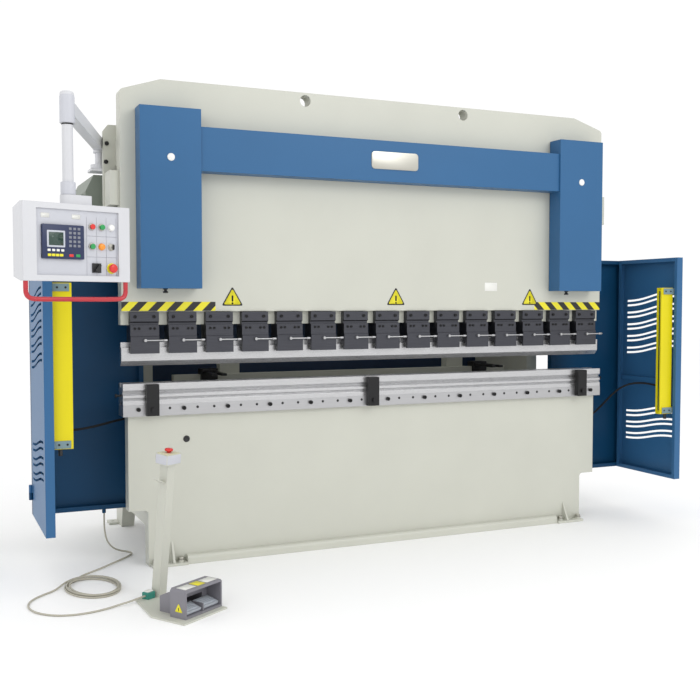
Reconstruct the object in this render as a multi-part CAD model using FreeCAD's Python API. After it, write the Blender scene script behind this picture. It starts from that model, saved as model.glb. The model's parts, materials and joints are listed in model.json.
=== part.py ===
"""Hydraulic press brake with two cylinders, side guard doors, a swinging control
pendant and a free-standing foot pedal station.

Millimetres. X runs left to right along the bend line, Y from the operator to the
rear, Z up. The origin is on the floor, under the middle of the bend line."""
import FreeCAD, Part
import math
import os
from FreeCAD import Vector

# ---------------------------------------------------------------- driving dimensions
# Ram and bed
RAM_LENGTH = 3100.0
RAM_THICK = 90.0
RAM_TOP = 2597.0
RAM_SHOULDER_Z = 2528.0
RAM_CHAMFER = 217.0          # run of the sloping shoulder along X
RAM_BOTTOM = 1300.0
RAM_RECESS_Z = 1372.0        # top of the recess that takes the clamps
RAM_RECESS_DEPTH = 30.0
LIFT_HOLE_X = 512.0
LIFT_HOLE_R = 32.0
LIFT_HOLE_DROP = 45.0        # below the ram's top edge
RAM_DOWN = 100.0             # travel below and above the rest position
RAM_UP = 120.0
BED_WIDTH = 3040.0
BED_FRONT_Y = -30.0
BED_THICK = 80.0
BED_TOP = 815.0
NOTCH_WIDTH = 104.0
NOTCH_HEIGHT = 305.0
NOTCH_RADIUS = 22.0
# Side frames
FRAME_GAP = 2580.0           # clear width between the side frames
FRAME_PLATE = 80.0
FRAME_REAR_Y = 1130.0
FRAME_TOP = 2340.0
THROAT_DEPTH = 400.0         # from the bend line to the back of the throat
THROAT_TOP = 1450.0
THROAT_RADIUS = 80.0
ARCH_HEIGHT = 160.0
FOOT_LENGTH = 160.0          # length of each foot of a side frame along Y
# Cross plate that joins the frames behind the ram
CROSS_SETBACK = 18.0         # from the cylinders' backs to the plate
CROSS_THICK = 30.0
CROSS_OVERHANG = 55.0        # past each end of the ram
CROSS_BOTTOM = 1530.0
CROSS_TOP = 2370.0
# Cylinders
CYL_X = 1308.0
CYL_R = 112.0
BORE_R = 80.0
ROD_R = 60.0
ROD_CLEARANCE = 0.05
CYL_CAP = 40.0
GLAND_LENGTH = 50.0
PISTON_THICK = 50.0
CYL_MOUNT_HALF = 90.0
ROD_FOOT_HEIGHT = 30.0
ROD_FOOT_HALF = 85.0
WINDOW_HALF = 135.0          # half width of the ram window round each cylinder
WINDOW_BOTTOM = 1600.0
WINDOW_CLEARANCE = 10.0
# Covers
COVER_INNER_X = 1146.0
COVER_OUTER_X = 1470.0
COVER_FRONT_Y = -162.0
COVER_BACK_GAP = 5.0         # between a cover's back edge and the ram's face
COVER_BOTTOM = 1493.0
COVER_TOP = 2434.0
SHEET = 3.0
COVER_BOLT_Z = 2175.0
PIPE_COVER_SETBACK = 12.0
PIPE_COVER_BOTTOM = 2113.0
PIPE_COVER_TOP = 2345.0
FRONT_PIPE_R = 9.0
# Clamps and tools
CLAMP_COUNT = 15
CLAMP_PITCH = 204.5
CLAMP_WIDTH = 153.0
CLAMP_FRONT_Y = -57.0
CLAMP_BOTTOM = 1180.0
JAW_THICK = 13.0
JAW_BOTTOM = 1149.0
TANG_HALF = 6.5
TANG_HEIGHT = 28.0
TANG_CLEARANCE = 0.5
PUNCH_TIP_Z = 1082.0
PUNCH_FRONT_Y = -26.0
PUNCH_BACK_Y = 14.0
DIE_TOP = 990.0
DIE_HALF = 57.5
RAIL_HALF = 60.0
RAIL_HEIGHT = 60.0
DIE_OPENING = 50.0
RAIL_SCREW_PITCH = 245.0
RAIL_SCREW_COUNT = 13
DIE_CLAMP_X = (-1399.0, -106.0, 1382.0)
DIE_CLAMP_WIDTH = 66.0
# Guards and doors
DOOR_X = 1980.0              # outer face of each door
TRAY = 45.0                  # depth of the folded trays
LIP = 25.0
DOOR_FRONT_Y = -335.0
WALL_Y = 235.0
GUARD_BOTTOM = 275.0
GUARD_TOP = 1710.0
HINGE_HEIGHTS = (360.0, 1600.0)
HINGE_PIN_R = 5.0
CURTAIN_WIDTH = 92.0
CURTAIN_DEPTH = 42.0
CURTAIN_BOTTOM = 700.0
CURTAIN_TOP = 1515.0
# Pendant
ARM_PIVOT_OUT = 62.0         # past the ram's end
ARM_PIVOT_BACK = 65.0        # behind the cross plate
ARM_REACH = 1015.4
ARM_TURN = 17.187            # degrees the arm points outwards from -Y
ARM_Z = 2275.0
ARM_WIDTH = 50.0
ARM_HEIGHT = 60.0
HEAD_R = 31.0
TUBE_R = 24.0
CASE_TURN = 19.8
CASE_LEFT = -246.0
CASE_RIGHT = 266.0
CASE_BOTTOM = 1510.0
CASE_TOP = 1847.0
CASE_DEPTH = 136.0
CASE_TAPER = 20.0
CASE_WALL = 3.0
PANEL_LEFT = -184.0
PANEL_RIGHT = 210.0
PANEL_MARGIN = 26.0
PANEL_RECESS = 10.0
PANEL_THICK = 3.0
# Pedal station
STAND_X = -1487.0
STAND_Y = -1062.0
STAND_TURN = 33.0
BASE_THICK = 8.0
POST_SIZE = 50.0
POST_LEAN = 6.0
POST_HEIGHT = 650.0
ESTOP_BOX = (96.0, 76.0, 50.0)
HOUSING_WIDTH = 246.0
HOUSING_HEIGHT = 130.0
HOUSING_WALL = 8.0
# Foot cord
CORD_R = 4.5

# ---------------------------------------------------------------- derived values
HALF_RAM = RAM_LENGTH / 2
RAM_FRONT = -RAM_THICK / 2
RAM_BACK = RAM_THICK / 2
FRAME_IN = FRAME_GAP / 2
FRAME_OUT = FRAME_IN + FRAME_PLATE
CROSS_Y = CYL_R + CROSS_SETBACK
CROSS_BACK = CROSS_Y + CROSS_THICK
CROSS_WIDTH = RAM_LENGTH + 2 * CROSS_OVERHANG
BED_BACK = BED_FRONT_Y + BED_THICK
RAIL_TOP = BED_TOP + RAIL_HEIGHT
ROD_FOOT_TOP = WINDOW_BOTTOM + ROD_FOOT_HEIGHT
CYL_BOTTOM = ROD_FOOT_TOP + RAM_UP + 68.0
CHAMBER_BOTTOM = CYL_BOTTOM + GLAND_LENGTH
PISTON_BOTTOM = CHAMBER_BOTTOM + RAM_DOWN + 4.0
CHAMBER_TOP = PISTON_BOTTOM + PISTON_THICK + RAM_UP + 12.0
CYL_TOP = CHAMBER_TOP + CYL_CAP
WINDOW_TOP = CYL_TOP + RAM_DOWN + WINDOW_CLEARANCE
CHAMFER_SLOPE = (RAM_TOP - RAM_SHOULDER_Z) / RAM_CHAMFER
DOOR_IN = DOOR_X - TRAY
ARM_PIVOT = (-HALF_RAM - ARM_PIVOT_OUT, CROSS_BACK + ARM_PIVOT_BACK)


# ---------------------------------------------------------------- drawing helpers
def box(xs, ys, zs):
    """Block between (low, high) pairs."""
    return Part.makeBox(xs[1] - xs[0], ys[1] - ys[0], zs[1] - zs[0],
                        Vector(xs[0], ys[0], zs[0]))


def rod(radius, start, end):
    """Round bar from start to end."""
    axis = Vector(*end) - Vector(*start)
    return Part.makeCylinder(radius, axis.Length, Vector(*start), axis)


def extrude(points, push):
    """Prism of a closed polygon, pushed along a vector."""
    wire = Part.makePolygon([Vector(*p) for p in points + points[:1]])
    return Part.Face(wire).extrude(Vector(*push))


def plate_xz(outline, ys):
    return extrude([(x, ys[0], z) for x, z in outline], (0, ys[1] - ys[0], 0))


def plate_yz(outline, xs):
    return extrude([(xs[0], y, z) for y, z in outline], (xs[1] - xs[0], 0, 0))


def plate_xy(outline, zs):
    return extrude([(x, y, zs[0]) for x, y in outline], (0, 0, zs[1] - zs[0]))


def mirror(shape):
    """The same piece on the other side of the machine."""
    return shape.mirror(Vector(0, 0, 0), Vector(1, 0, 0))


def shell(xs, ys, zs, wall, open_side):
    """Sheet-metal box with one open side, named by axis and sign such as '-y'."""
    inner = [[xs[0] + wall, xs[1] - wall], [ys[0] + wall, ys[1] - wall],
             [zs[0] + wall, zs[1] - wall]]
    axis = "xyz".index(open_side[1])
    end = 0 if open_side[0] == "-" else 1
    inner[axis][end] += -2 * wall if end == 0 else 2 * wall
    return box(xs, ys, zs).cut(box(*inner))


def round_edges(shape, radius, keep):
    """Fillet the edges whose middle point keep() accepts."""
    edges = [e for e in shape.Edges if keep(e.CenterOfMass)]
    return shape.makeFillet(radius, edges)


def tube_along(points, radius, bends):
    """Round bar along straight runs joined by tangent arcs of the given radii."""
    pts = [Vector(*p) for p in points]
    edges = []
    here = pts[0]
    for i in range(1, len(pts) - 1):
        back = (pts[i - 1] - pts[i]).normalize()
        ahead = (pts[i + 1] - pts[i]).normalize()
        half = math.acos(max(-1.0, min(1.0, back.dot(ahead)))) / 2
        reach = bends[i - 1] / math.tan(half)
        start = pts[i] + back * reach
        end = pts[i] + ahead * reach
        middle = (back + ahead).normalize()
        mid = pts[i] + middle * (bends[i - 1] / math.sin(half) - bends[i - 1])
        edges.append(Part.LineSegment(here, start).toShape())
        edges.append(Part.Arc(start, mid, end).toShape())
        here = end
    edges.append(Part.LineSegment(here, pts[-1]).toShape())
    path = Part.Wire(edges)
    circle = Part.Wire(Part.makeCircle(radius, pts[0], pts[1] - pts[0]))
    solid = path.makePipeShell([circle], True, True)
    return solid, path


def soft_bends(points):
    """Largest gentle bend radius at each inner point of a cord's route."""
    pts = [Vector(*p) for p in points]
    radii = []
    for i in range(1, len(pts) - 1):
        before = pts[i] - pts[i - 1]
        after = pts[i + 1] - pts[i]
        turn = before.getAngle(after)
        radii.append(0.45 * min(before.Length, after.Length) / math.tan(turn / 2))
    return radii


def cord(name, points, radius):
    """A cord's stretch, printed with its length, volume check and bend radii."""
    radii = soft_bends(points)
    solid, path = tube_along(points, radius, radii)
    print("%s length %.1f volume ratio %.4f radii %s" % (
        name, path.Length, solid.Volume / (math.pi * radius ** 2 * path.Length),
        " ".join("%.0f" % r for r in radii)))
    return solid


def save(node, *solids):
    """Write one node; several solids go into it as a group."""
    shape = solids[0] if len(solids) == 1 else Part.makeCompound(list(solids))
    shape.exportStep("parts/%s.step" % node)


# ---------------------------------------------------------------- main structure
def side_frame():
    """C-shaped plate: two feet, an arched underside, a throat and an upper arm."""
    front_foot = BED_BACK + FOOT_LENGTH
    rear_foot = FRAME_REAR_Y - FOOT_LENGTH
    lean = ARCH_HEIGHT / 3
    outline = [(BED_BACK, 0), (front_foot, 0), (front_foot + lean, ARCH_HEIGHT),
               (rear_foot - lean, ARCH_HEIGHT), (rear_foot, 0), (FRAME_REAR_Y, 0),
               (FRAME_REAR_Y, FRAME_TOP - 420), (FRAME_REAR_Y - 220, FRAME_TOP),
               (CROSS_BACK, FRAME_TOP), (CROSS_BACK, THROAT_TOP),
               (THROAT_DEPTH, THROAT_TOP), (THROAT_DEPTH, BED_TOP), (BED_BACK, BED_TOP)]
    plate = plate_yz(outline, (FRAME_IN, FRAME_OUT))
    return round_edges(plate, THROAT_RADIUS, lambda c: abs(c.y - THROAT_DEPTH) < 1
                       and min(abs(c.z - THROAT_TOP), abs(c.z - BED_TOP)) < 1)


def bed_plate():
    """Front plate under the die, notched at its lower corners."""
    half = BED_WIDTH / 2
    low = half - NOTCH_WIDTH
    right = [(low, 0), (low, NOTCH_HEIGHT), (half, NOTCH_HEIGHT), (half, BED_TOP)]
    left = [(-x, z) for x, z in reversed(right)]
    plate = plate_xz(right + left, (BED_FRONT_Y, BED_BACK))
    return round_edges(plate, NOTCH_RADIUS, lambda c: abs(abs(c.x) - low) < 1
                       and abs(c.z - NOTCH_HEIGHT) < 1)


FOOT_PLATE = 14.0
FOOT_X = (1213.0, 1407.0)
FOOT_FRONT = BED_FRONT_Y - 58.0
ANCHOR_X = 1335.0
ANCHOR_R = 11.0
LEVEL_X = (1247.0, 1384.0)
LEVEL_R = 10.0
ANCHOR_FRONT_Y = BED_FRONT_Y - 29.0
ANCHOR_REAR_Y = FRAME_REAR_Y - 30.0


def front_feet():
    """Rounded rail along the foot of the bed, end plates, gussets and rear plates."""
    rail = box((-FOOT_X[0] + 1, FOOT_X[0] - 1), (BED_FRONT_Y - 44, BED_FRONT_Y), (0, 48))
    rail = round_edges(rail, 20, lambda c: c.y < BED_FRONT_Y - 43 and c.z > 47)
    pieces = [rail]
    for side in (-1, 1):
        plate = box((FOOT_X[0], FOOT_X[1]), (FOOT_FRONT, BED_FRONT_Y), (0, FOOT_PLATE))
        plate = plate.cut(rod(ANCHOR_R, (ANCHOR_X, ANCHOR_FRONT_Y, -1),
                              (ANCHOR_X, ANCHOR_FRONT_Y, 20)))
        for x in LEVEL_X:
            plate = plate.cut(rod(LEVEL_R + 0.3, (x, ANCHOR_FRONT_Y, -1),
                                  (x, ANCHOR_FRONT_Y, 20)))
        gusset = plate_yz([(BED_FRONT_Y, FOOT_PLATE), (BED_FRONT_Y, 125),
                           (FOOT_FRONT + 5, FOOT_PLATE + 6), (FOOT_FRONT + 5, FOOT_PLATE)],
                          (1282, 1294))
        rear = box((FRAME_OUT, FRAME_OUT + 60), (FRAME_REAR_Y - 80, FRAME_REAR_Y + 20),
                   (0, FOOT_PLATE))
        rear = rear.cut(rod(ANCHOR_R, (FRAME_OUT + 30, ANCHOR_REAR_Y, -1),
                            (FRAME_OUT + 30, ANCHOR_REAR_Y, 20)))
        group = [plate, gusset, rear]
        pieces += group if side == 1 else [mirror(p) for p in group]
    return pieces


def level_bolts():
    """Levelling bolts that stand in the front feet."""
    bolts = []
    for side in (-1, 1):
        for x in LEVEL_X:
            shank = rod(LEVEL_R, (side * x, ANCHOR_FRONT_Y, 1), (side * x, ANCHOR_FRONT_Y, 40))
            head = rod(16, (side * x, ANCHOR_FRONT_Y, FOOT_PLATE),
                       (side * x, ANCHOR_FRONT_Y, FOOT_PLATE + 12))
            bolts.append(shank.fuse(head))
    return bolts


PIPE_X = FRAME_IN - 28.0
PIPE_Z = 2100.0
PIPE_R = 10.0


def cross_plate():
    """Plate across both frames, with holes for the cylinder pipes."""
    half = CROSS_WIDTH / 2
    right = [(half, CROSS_BOTTOM), (half, CROSS_TOP - 35), (half - 27, CROSS_TOP)]
    left = [(-x, z) for x, z in reversed(right)]
    plate = plate_xz(right + left, (CROSS_Y, CROSS_BACK))
    for side in (-1, 1):
        plate = plate.cut(rod(PIPE_R + 3, (side * PIPE_X, CROSS_Y - 5, PIPE_Z),
                              (side * PIPE_X, CROSS_BACK + 5, PIPE_Z)))
    return plate


CROSSMEMBER_Y = 1000.0
CROSSMEMBER_TOP = 730.0


def rear_crossmember():
    """Plate that ties the frames at the rear and carries the backgauge rails."""
    return box((-FRAME_IN, FRAME_IN), (CROSSMEMBER_Y, CROSSMEMBER_Y + 40),
               (ARCH_HEIGHT, CROSSMEMBER_TOP))


def rear_guard():
    """Folded sheet between the frames behind the backgauge."""
    return shell((-FRAME_IN, FRAME_IN), (FRAME_REAR_Y - 60, FRAME_REAR_Y - 20),
                 (CROSSMEMBER_TOP - 60, 1660), SHEET, "-y")


TANK_Y = (620.0, 1000.0)
TANK_Z = (1700.0, 2200.0)
TANK_WALL = 6.0
MOTOR_X = -650.0
MOTOR_Y = 810.0
MOTOR_R = 125.0
VALVE_X = (-220.0, 220.0)
VALVE_Y = (640.0, 840.0)
VALVE_TOP = TANK_Z[1] + 140


def oil_tank():
    """Hollow tank between the frames, open only at its filler neck."""
    tank = box((-FRAME_IN, FRAME_IN), TANK_Y, TANK_Z)
    inner = box((-FRAME_IN + TANK_WALL, FRAME_IN - TANK_WALL),
                (TANK_Y[0] + TANK_WALL, TANK_Y[1] - TANK_WALL),
                (TANK_Z[0] + TANK_WALL, TANK_Z[1] - TANK_WALL))
    neck = rod(30, (700, MOTOR_Y, TANK_Z[1] - 20), (700, MOTOR_Y, TANK_Z[1] + 10))
    cap = rod(42, (700, MOTOR_Y, TANK_Z[1]), (700, MOTOR_Y, TANK_Z[1] + 35))
    return tank.cut(inner).cut(neck), cap


def pump_motor():
    """Upright motor on its pump flange, with a terminal box."""
    base = rod(160, (MOTOR_X, MOTOR_Y, TANK_Z[1]), (MOTOR_X, MOTOR_Y, TANK_Z[1] + 24))
    body = rod(MOTOR_R, (MOTOR_X, MOTOR_Y, TANK_Z[1] + 24),
               (MOTOR_X, MOTOR_Y, TANK_Z[1] + 330))
    cowl = rod(MOTOR_R + 5, (MOTOR_X, MOTOR_Y, TANK_Z[1] + 270),
               (MOTOR_X, MOTOR_Y, TANK_Z[1] + 345))
    terminals = box((MOTOR_X + 100, MOTOR_X + 175), (MOTOR_Y - 50, MOTOR_Y + 50),
                    (TANK_Z[1] + 120, TANK_Z[1] + 220))
    return base.fuse(body).fuse(cowl).fuse(terminals)


def hydraulic_lines():
    """Valve block, pressure line from the pump and a pipe to each cylinder."""
    block = box(VALVE_X, VALVE_Y, (TANK_Z[1], VALVE_TOP))
    for x in (-130, 0, 130):
        block = block.fuse(box((x - 35, x + 35), (VALVE_Y[0] + 60, VALVE_Y[1] - 60),
                               (VALVE_TOP, VALVE_TOP + 70)))
    feed_z = TANK_Z[1] + 12
    feed = rod(PIPE_R, (MOTOR_X + 160, MOTOR_Y, feed_z), (VALVE_X[0], MOTOR_Y, feed_z))
    pieces = [block, feed]
    run_y = (CROSS_BACK + TANK_Y[0]) / 2 + 90
    for side in (-1, 1):
        route = [(side * PIPE_X, CROSS_Y, PIPE_Z), (side * PIPE_X, run_y, PIPE_Z),
                 (side * 150, run_y, PIPE_Z), (side * 150, run_y, TANK_Z[1] + 80),
                 (side * 150, VALVE_Y[0], TANK_Z[1] + 80)]
        pipe, _ = tube_along(route, PIPE_R, [50, 50, 50])
        pieces.append(pipe)
    return pieces


# ---------------------------------------------------------------- cylinders and covers
def cylinder():
    """Barrel with its mounting block, bored for the piston and open at the gland."""
    barrel = rod(CYL_R, (CYL_X, 0, CYL_BOTTOM), (CYL_X, 0, CYL_TOP))
    block = box((CYL_X - CYL_MOUNT_HALF, CYL_X + CYL_MOUNT_HALF), (0, CROSS_Y),
                (CYL_BOTTOM, CYL_TOP))
    stud = rod(18, (CYL_X, 0, COVER_BOLT_Z), (CYL_X, COVER_FRONT_Y + SHEET, COVER_BOLT_Z))
    body = barrel.fuse(block).fuse(stud)
    bore = rod(BORE_R, (CYL_X, 0, CHAMBER_BOTTOM), (CYL_X, 0, CHAMBER_TOP))
    gland = rod(ROD_R + ROD_CLEARANCE, (CYL_X, 0, CYL_BOTTOM - 1), (CYL_X, 0, CHAMBER_BOTTOM + 1))
    return body.cut(bore).cut(gland)


def piston_rod():
    """Piston, rod and the foot that bolts into the ram's window."""
    foot = box((CYL_X - ROD_FOOT_HALF, CYL_X + ROD_FOOT_HALF), (RAM_FRONT, RAM_BACK),
               (WINDOW_BOTTOM, ROD_FOOT_TOP))
    shaft = rod(ROD_R, (CYL_X, 0, ROD_FOOT_TOP), (CYL_X, 0, PISTON_BOTTOM))
    piston = rod(BORE_R - ROD_CLEARANCE, (CYL_X, 0, PISTON_BOTTOM),
                 (CYL_X, 0, PISTON_BOTTOM + PISTON_THICK))
    return foot.fuse(shaft).fuse(piston)


def cylinder_cover():
    """Sheet cover in front of a cylinder, with a hole for the front pipe."""
    cover = shell((COVER_INNER_X, COVER_OUTER_X), (COVER_FRONT_Y, RAM_FRONT - COVER_BACK_GAP),
                  (COVER_BOTTOM, COVER_TOP), SHEET, "+y")
    hole = rod(FRONT_PIPE_R + 2, (COVER_INNER_X - 5, FRONT_PIPE_Y, FRONT_PIPE_Z),
               (COVER_INNER_X + 10, FRONT_PIPE_Y, FRONT_PIPE_Z))
    return cover.cut(hole)


FRONT_PIPE_Y = RAM_FRONT - 35.0
FRONT_PIPE_Z = CYL_TOP - 60.0


def pipe_cover():
    """Folded cover over the pipe between the cylinders, with the pipe in it."""
    cover = shell((-COVER_INNER_X, COVER_INNER_X),
                  (COVER_FRONT_Y + PIPE_COVER_SETBACK, RAM_FRONT - COVER_BACK_GAP),
                  (PIPE_COVER_BOTTOM, PIPE_COVER_TOP), SHEET, "+y")
    hole = rod(FRONT_PIPE_R + 2, (-CYL_X, FRONT_PIPE_Y, FRONT_PIPE_Z),
               (CYL_X, FRONT_PIPE_Y, FRONT_PIPE_Z))
    return cover.cut(hole)


def front_pipe():
    """Return line joining the fronts of the two cylinders."""
    pipe = rod(FRONT_PIPE_R, (-CYL_X, FRONT_PIPE_Y, FRONT_PIPE_Z),
               (CYL_X, FRONT_PIPE_Y, FRONT_PIPE_Z))
    for side in (-1, 1):
        pipe = pipe.cut(rod(CYL_R, (side * CYL_X, 0, CYL_BOTTOM), (side * CYL_X, 0, CYL_TOP)))
    return max(pipe.Solids, key=lambda s: s.Volume)


GUIDE_GAP = 0.5


def ram_guides():
    """End guides and back pads that keep the ram upright, on the cross plate."""
    end_x = HALF_RAM + GUIDE_GAP
    end = box((end_x, CROSS_WIDTH / 2 - 6), (RAM_FRONT + 25, CROSS_Y), (1930, 2110))
    pads = [box((CYL_X + WINDOW_HALF + 17, HALF_RAM - 10), (RAM_BACK + GUIDE_GAP, CROSS_Y), zs)
            for zs in ((1560, 1700), (2150, 2290))]
    pieces = [end] + pads
    return pieces + [mirror(p) for p in pieces]


# ---------------------------------------------------------------- ram, clamps and tools
def ram_beam():
    """Full-height ram plate with sloping shoulders, lifting holes and two windows."""
    shoulder = HALF_RAM - RAM_CHAMFER
    right = [(HALF_RAM, RAM_BOTTOM), (HALF_RAM, RAM_SHOULDER_Z), (shoulder, RAM_TOP)]
    left = [(-x, z) for x, z in reversed(right)]
    ram = plate_xz(right + left, (RAM_FRONT, RAM_BACK))
    ram = round_edges(ram, 25, lambda c: abs(abs(c.x) - HALF_RAM) < 1
                      and abs(c.z - RAM_SHOULDER_Z) < 1)
    recess = box((-HALF_RAM - 1, HALF_RAM + 1), (RAM_FRONT - 1, RAM_FRONT + RAM_RECESS_DEPTH),
                 (RAM_BOTTOM - 1, RAM_RECESS_Z))
    ram = ram.cut(recess)
    for side in (-1, 1):
        window = box((side * CYL_X - WINDOW_HALF, side * CYL_X + WINDOW_HALF),
                     (RAM_FRONT - 1, RAM_BACK + 1), (WINDOW_BOTTOM, WINDOW_TOP))
        hole = rod(LIFT_HOLE_R, (side * LIFT_HOLE_X, RAM_FRONT - 1, RAM_TOP - LIFT_HOLE_DROP),
                   (side * LIFT_HOLE_X, RAM_BACK + 1, RAM_TOP - LIFT_HOLE_DROP))
        ram = ram.cut(window).cut(hole)
    return ram


def clamp_xs():
    """Centres of the clamps along the ram."""
    return [(i - (CLAMP_COUNT - 1) / 2) * CLAMP_PITCH for i in range(CLAMP_COUNT)]


JAW_BACK_Y = CLAMP_FRONT_Y + 11.0
RECESS_Y = RAM_FRONT + RAM_RECESS_DEPTH


def clamp_body(x):
    """Adapter bolted in the ram's recess, slotted for the punch's tang."""
    slot = TANG_HALF + TANG_CLEARANCE
    slot_top = CLAMP_BOTTOM + TANG_HEIGHT + 4
    outline = [(CLAMP_FRONT_Y, RAM_RECESS_Z - 3), (RECESS_Y, RAM_RECESS_Z - 3),
               (RECESS_Y, RAM_BOTTOM), (RAM_BACK - 5, RAM_BOTTOM),
               (RAM_BACK - 5, CLAMP_BOTTOM), (slot, CLAMP_BOTTOM), (slot, slot_top),
               (-slot, slot_top), (-slot, CLAMP_BOTTOM), (JAW_BACK_Y, CLAMP_BOTTOM),
               (JAW_BACK_Y, RAM_BOTTOM + 12), (CLAMP_FRONT_Y, RAM_BOTTOM + 18)]
    return plate_yz(outline, (x - CLAMP_WIDTH / 2, x + CLAMP_WIDTH / 2))


def clamp_jaw(x):
    """Front jaw that presses the tang, thicker below the lever."""
    top = RAM_BOTTOM - 1
    step = (top + JAW_BOTTOM) / 2 + 14
    front = JAW_BACK_Y - JAW_THICK
    outline = [(JAW_BACK_Y, top), (front, top), (front, step + 2), (front - 6, step),
               (front - 6, JAW_BOTTOM), (JAW_BACK_Y, JAW_BOTTOM)]
    return plate_yz(outline, (x - CLAMP_WIDTH / 2, x + CLAMP_WIDTH / 2))


def clamp_lever(x):
    """Cross lever on a short stud in the jaw."""
    face = JAW_BACK_Y - JAW_THICK - 6
    z = (RAM_BOTTOM + JAW_BOTTOM) / 2 - 6
    stud = rod(8, (x, face, z), (x, face - 14, z))
    bar = rod(4, (x, face - 8, z), (x + CLAMP_WIDTH / 2 + 26, face - 8, z))
    return stud.fuse(bar)


def punch():
    """Straight punch: tang, shoulders and a bevelled nose."""
    tang_top = CLAMP_BOTTOM + TANG_HEIGHT
    nose = 0.8
    outline = [(-TANG_HALF, tang_top), (-TANG_HALF, CLAMP_BOTTOM),
               (PUNCH_FRONT_Y, CLAMP_BOTTOM), (PUNCH_FRONT_Y, PUNCH_TIP_Z + 27),
               (-nose, PUNCH_TIP_Z), (nose, PUNCH_TIP_Z), (PUNCH_BACK_Y, PUNCH_TIP_Z + 15),
               (PUNCH_BACK_Y, CLAMP_BOTTOM), (TANG_HALF, CLAMP_BOTTOM),
               (TANG_HALF, tang_top)]
    return plate_yz(outline, (-HALF_RAM, HALF_RAM))


def rail_screw_xs():
    """Centres of the screws along the die rail."""
    return [(i - (RAIL_SCREW_COUNT - 1) / 2) * RAIL_SCREW_PITCH for i in range(RAIL_SCREW_COUNT)]


RAIL_SCREW_Z = BED_TOP + 0.62 * RAIL_HEIGHT
RAIL_SCREW_R = 6.0


def die_rail():
    """Rail on the bed, drilled for its screws and with small blind holes beside them."""
    rail = box((-HALF_RAM, HALF_RAM), (-RAIL_HALF, RAIL_HALF), (BED_TOP, RAIL_TOP))
    for x in rail_screw_xs():
        rail = rail.cut(rod(RAIL_SCREW_R + 0.1, (x, -RAIL_HALF - 1, RAIL_SCREW_Z),
                            (x, -RAIL_HALF + 32, RAIL_SCREW_Z)))
        for offset in (-76, 76):
            if abs(x + offset) < HALF_RAM - 10:
                rail = rail.cut(rod(5, (x + offset, -RAIL_HALF - 1, RAIL_SCREW_Z + 2),
                                    (x + offset, -RAIL_HALF + 20, RAIL_SCREW_Z + 2)))
    return rail


def vee_notch(y, z, opening, depth, facing):
    """Triangle cutter for one V; facing is the way it opens, as a (y, z) step."""
    half = opening / 2
    out = 1.0
    along = (abs(facing[1]), abs(facing[0]))
    tip = (y - facing[0] * depth, z - facing[1] * depth)
    mouth_a = (y + facing[0] * out + along[0] * (half + out),
               z + facing[1] * out + along[1] * (half + out))
    mouth_b = (y + facing[0] * out - along[0] * (half + out),
               z + facing[1] * out - along[1] * (half + out))
    return plate_yz([tip, mouth_a, mouth_b], (-HALF_RAM - 1, HALF_RAM + 1))


def vee_die():
    """Four-way die block with V openings of different widths on its faces."""
    die = box((-HALF_RAM, HALF_RAM), (-DIE_HALF, DIE_HALF), (RAIL_TOP, DIE_TOP))
    height = DIE_TOP - RAIL_TOP
    notches = [vee_notch(0, DIE_TOP, DIE_OPENING, DIE_OPENING * 0.54, (0, 1)),
               vee_notch(-DIE_HALF, DIE_TOP - 0.42 * height, 28, 14, (-1, 0)),
               vee_notch(-DIE_HALF, DIE_TOP - 0.72 * height, 17, 8, (-1, 0)),
               vee_notch(DIE_HALF, DIE_TOP - 0.5 * height, 40, 21, (1, 0)),
               vee_notch(0, RAIL_TOP, 60, 32, (0, -1))]
    for notch in notches:
        die = die.cut(notch)
    return die


def die_rail_screws():
    """Socket screws of the rail and a stop screw at each end of the die."""
    screws = []
    for x in rail_screw_xs():
        shank = rod(RAIL_SCREW_R, (x, -RAIL_HALF, RAIL_SCREW_Z),
                    (x, -RAIL_HALF + 30, RAIL_SCREW_Z))
        head = rod(11, (x, -RAIL_HALF, RAIL_SCREW_Z), (x, -RAIL_HALF - 13, RAIL_SCREW_Z))
        screws.append(head.cut(rod(5, (x, -RAIL_HALF - 14, RAIL_SCREW_Z),
                                   (x, -RAIL_HALF - 6, RAIL_SCREW_Z))).fuse(shank))
    for side in (-1, 1):
        z = DIE_TOP - 0.55 * (DIE_TOP - RAIL_TOP)
        stop = rod(6, (side * HALF_RAM, -20, z), (side * (HALF_RAM + 34), -20, z))
        screws.append(stop.fuse(rod(10, (side * (HALF_RAM + 26), -20, z),
                                    (side * (HALF_RAM + 34), -20, z))))
    return screws


def die_clamp(x):
    """Block that holds the die down on the rail, with its bolt."""
    back = -RAIL_HALF
    block = box((x - DIE_CLAMP_WIDTH / 2, x + DIE_CLAMP_WIDTH / 2), (back - 38, back),
                (BED_TOP + 4, DIE_TOP - 4))
    block = round_edges(block, 8, lambda c: c.y < back - 37 and c.z > DIE_TOP - 5)
    bolt = rod(12, (x, back - 38, RAIL_SCREW_Z), (x, back - 50, RAIL_SCREW_Z))
    return block.fuse(bolt)


# ---------------------------------------------------------------- guards and doors
KNUCKLE_R = 10.0
KNUCKLE_LENGTH = 40.0
HINGE_X = DOOR_X + KNUCKLE_R
HINGE_Y = WALL_Y - 1.0
DOOR_GAP = 2.0
WALL_IN_X = FRAME_OUT + 8.0


def tray(xs, ys, zs, open_side):
    """Folded tray with a lip turned in all round its open side."""
    body = shell(xs, ys, zs, SHEET, open_side)
    spans = [list(xs), list(ys), list(zs)]
    axis = "xyz".index(open_side[1])
    if open_side[0] == "-":
        spans[axis][1] = spans[axis][0] + SHEET
    else:
        spans[axis][0] = spans[axis][1] - SHEET
    lip = box(*spans)
    hole = [[a + LIP, b - LIP] for a, b in spans]
    hole[axis] = [spans[axis][0] - 1, spans[axis][1] + 1]
    return body.fuse(lip.cut(box(*hole)))


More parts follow.
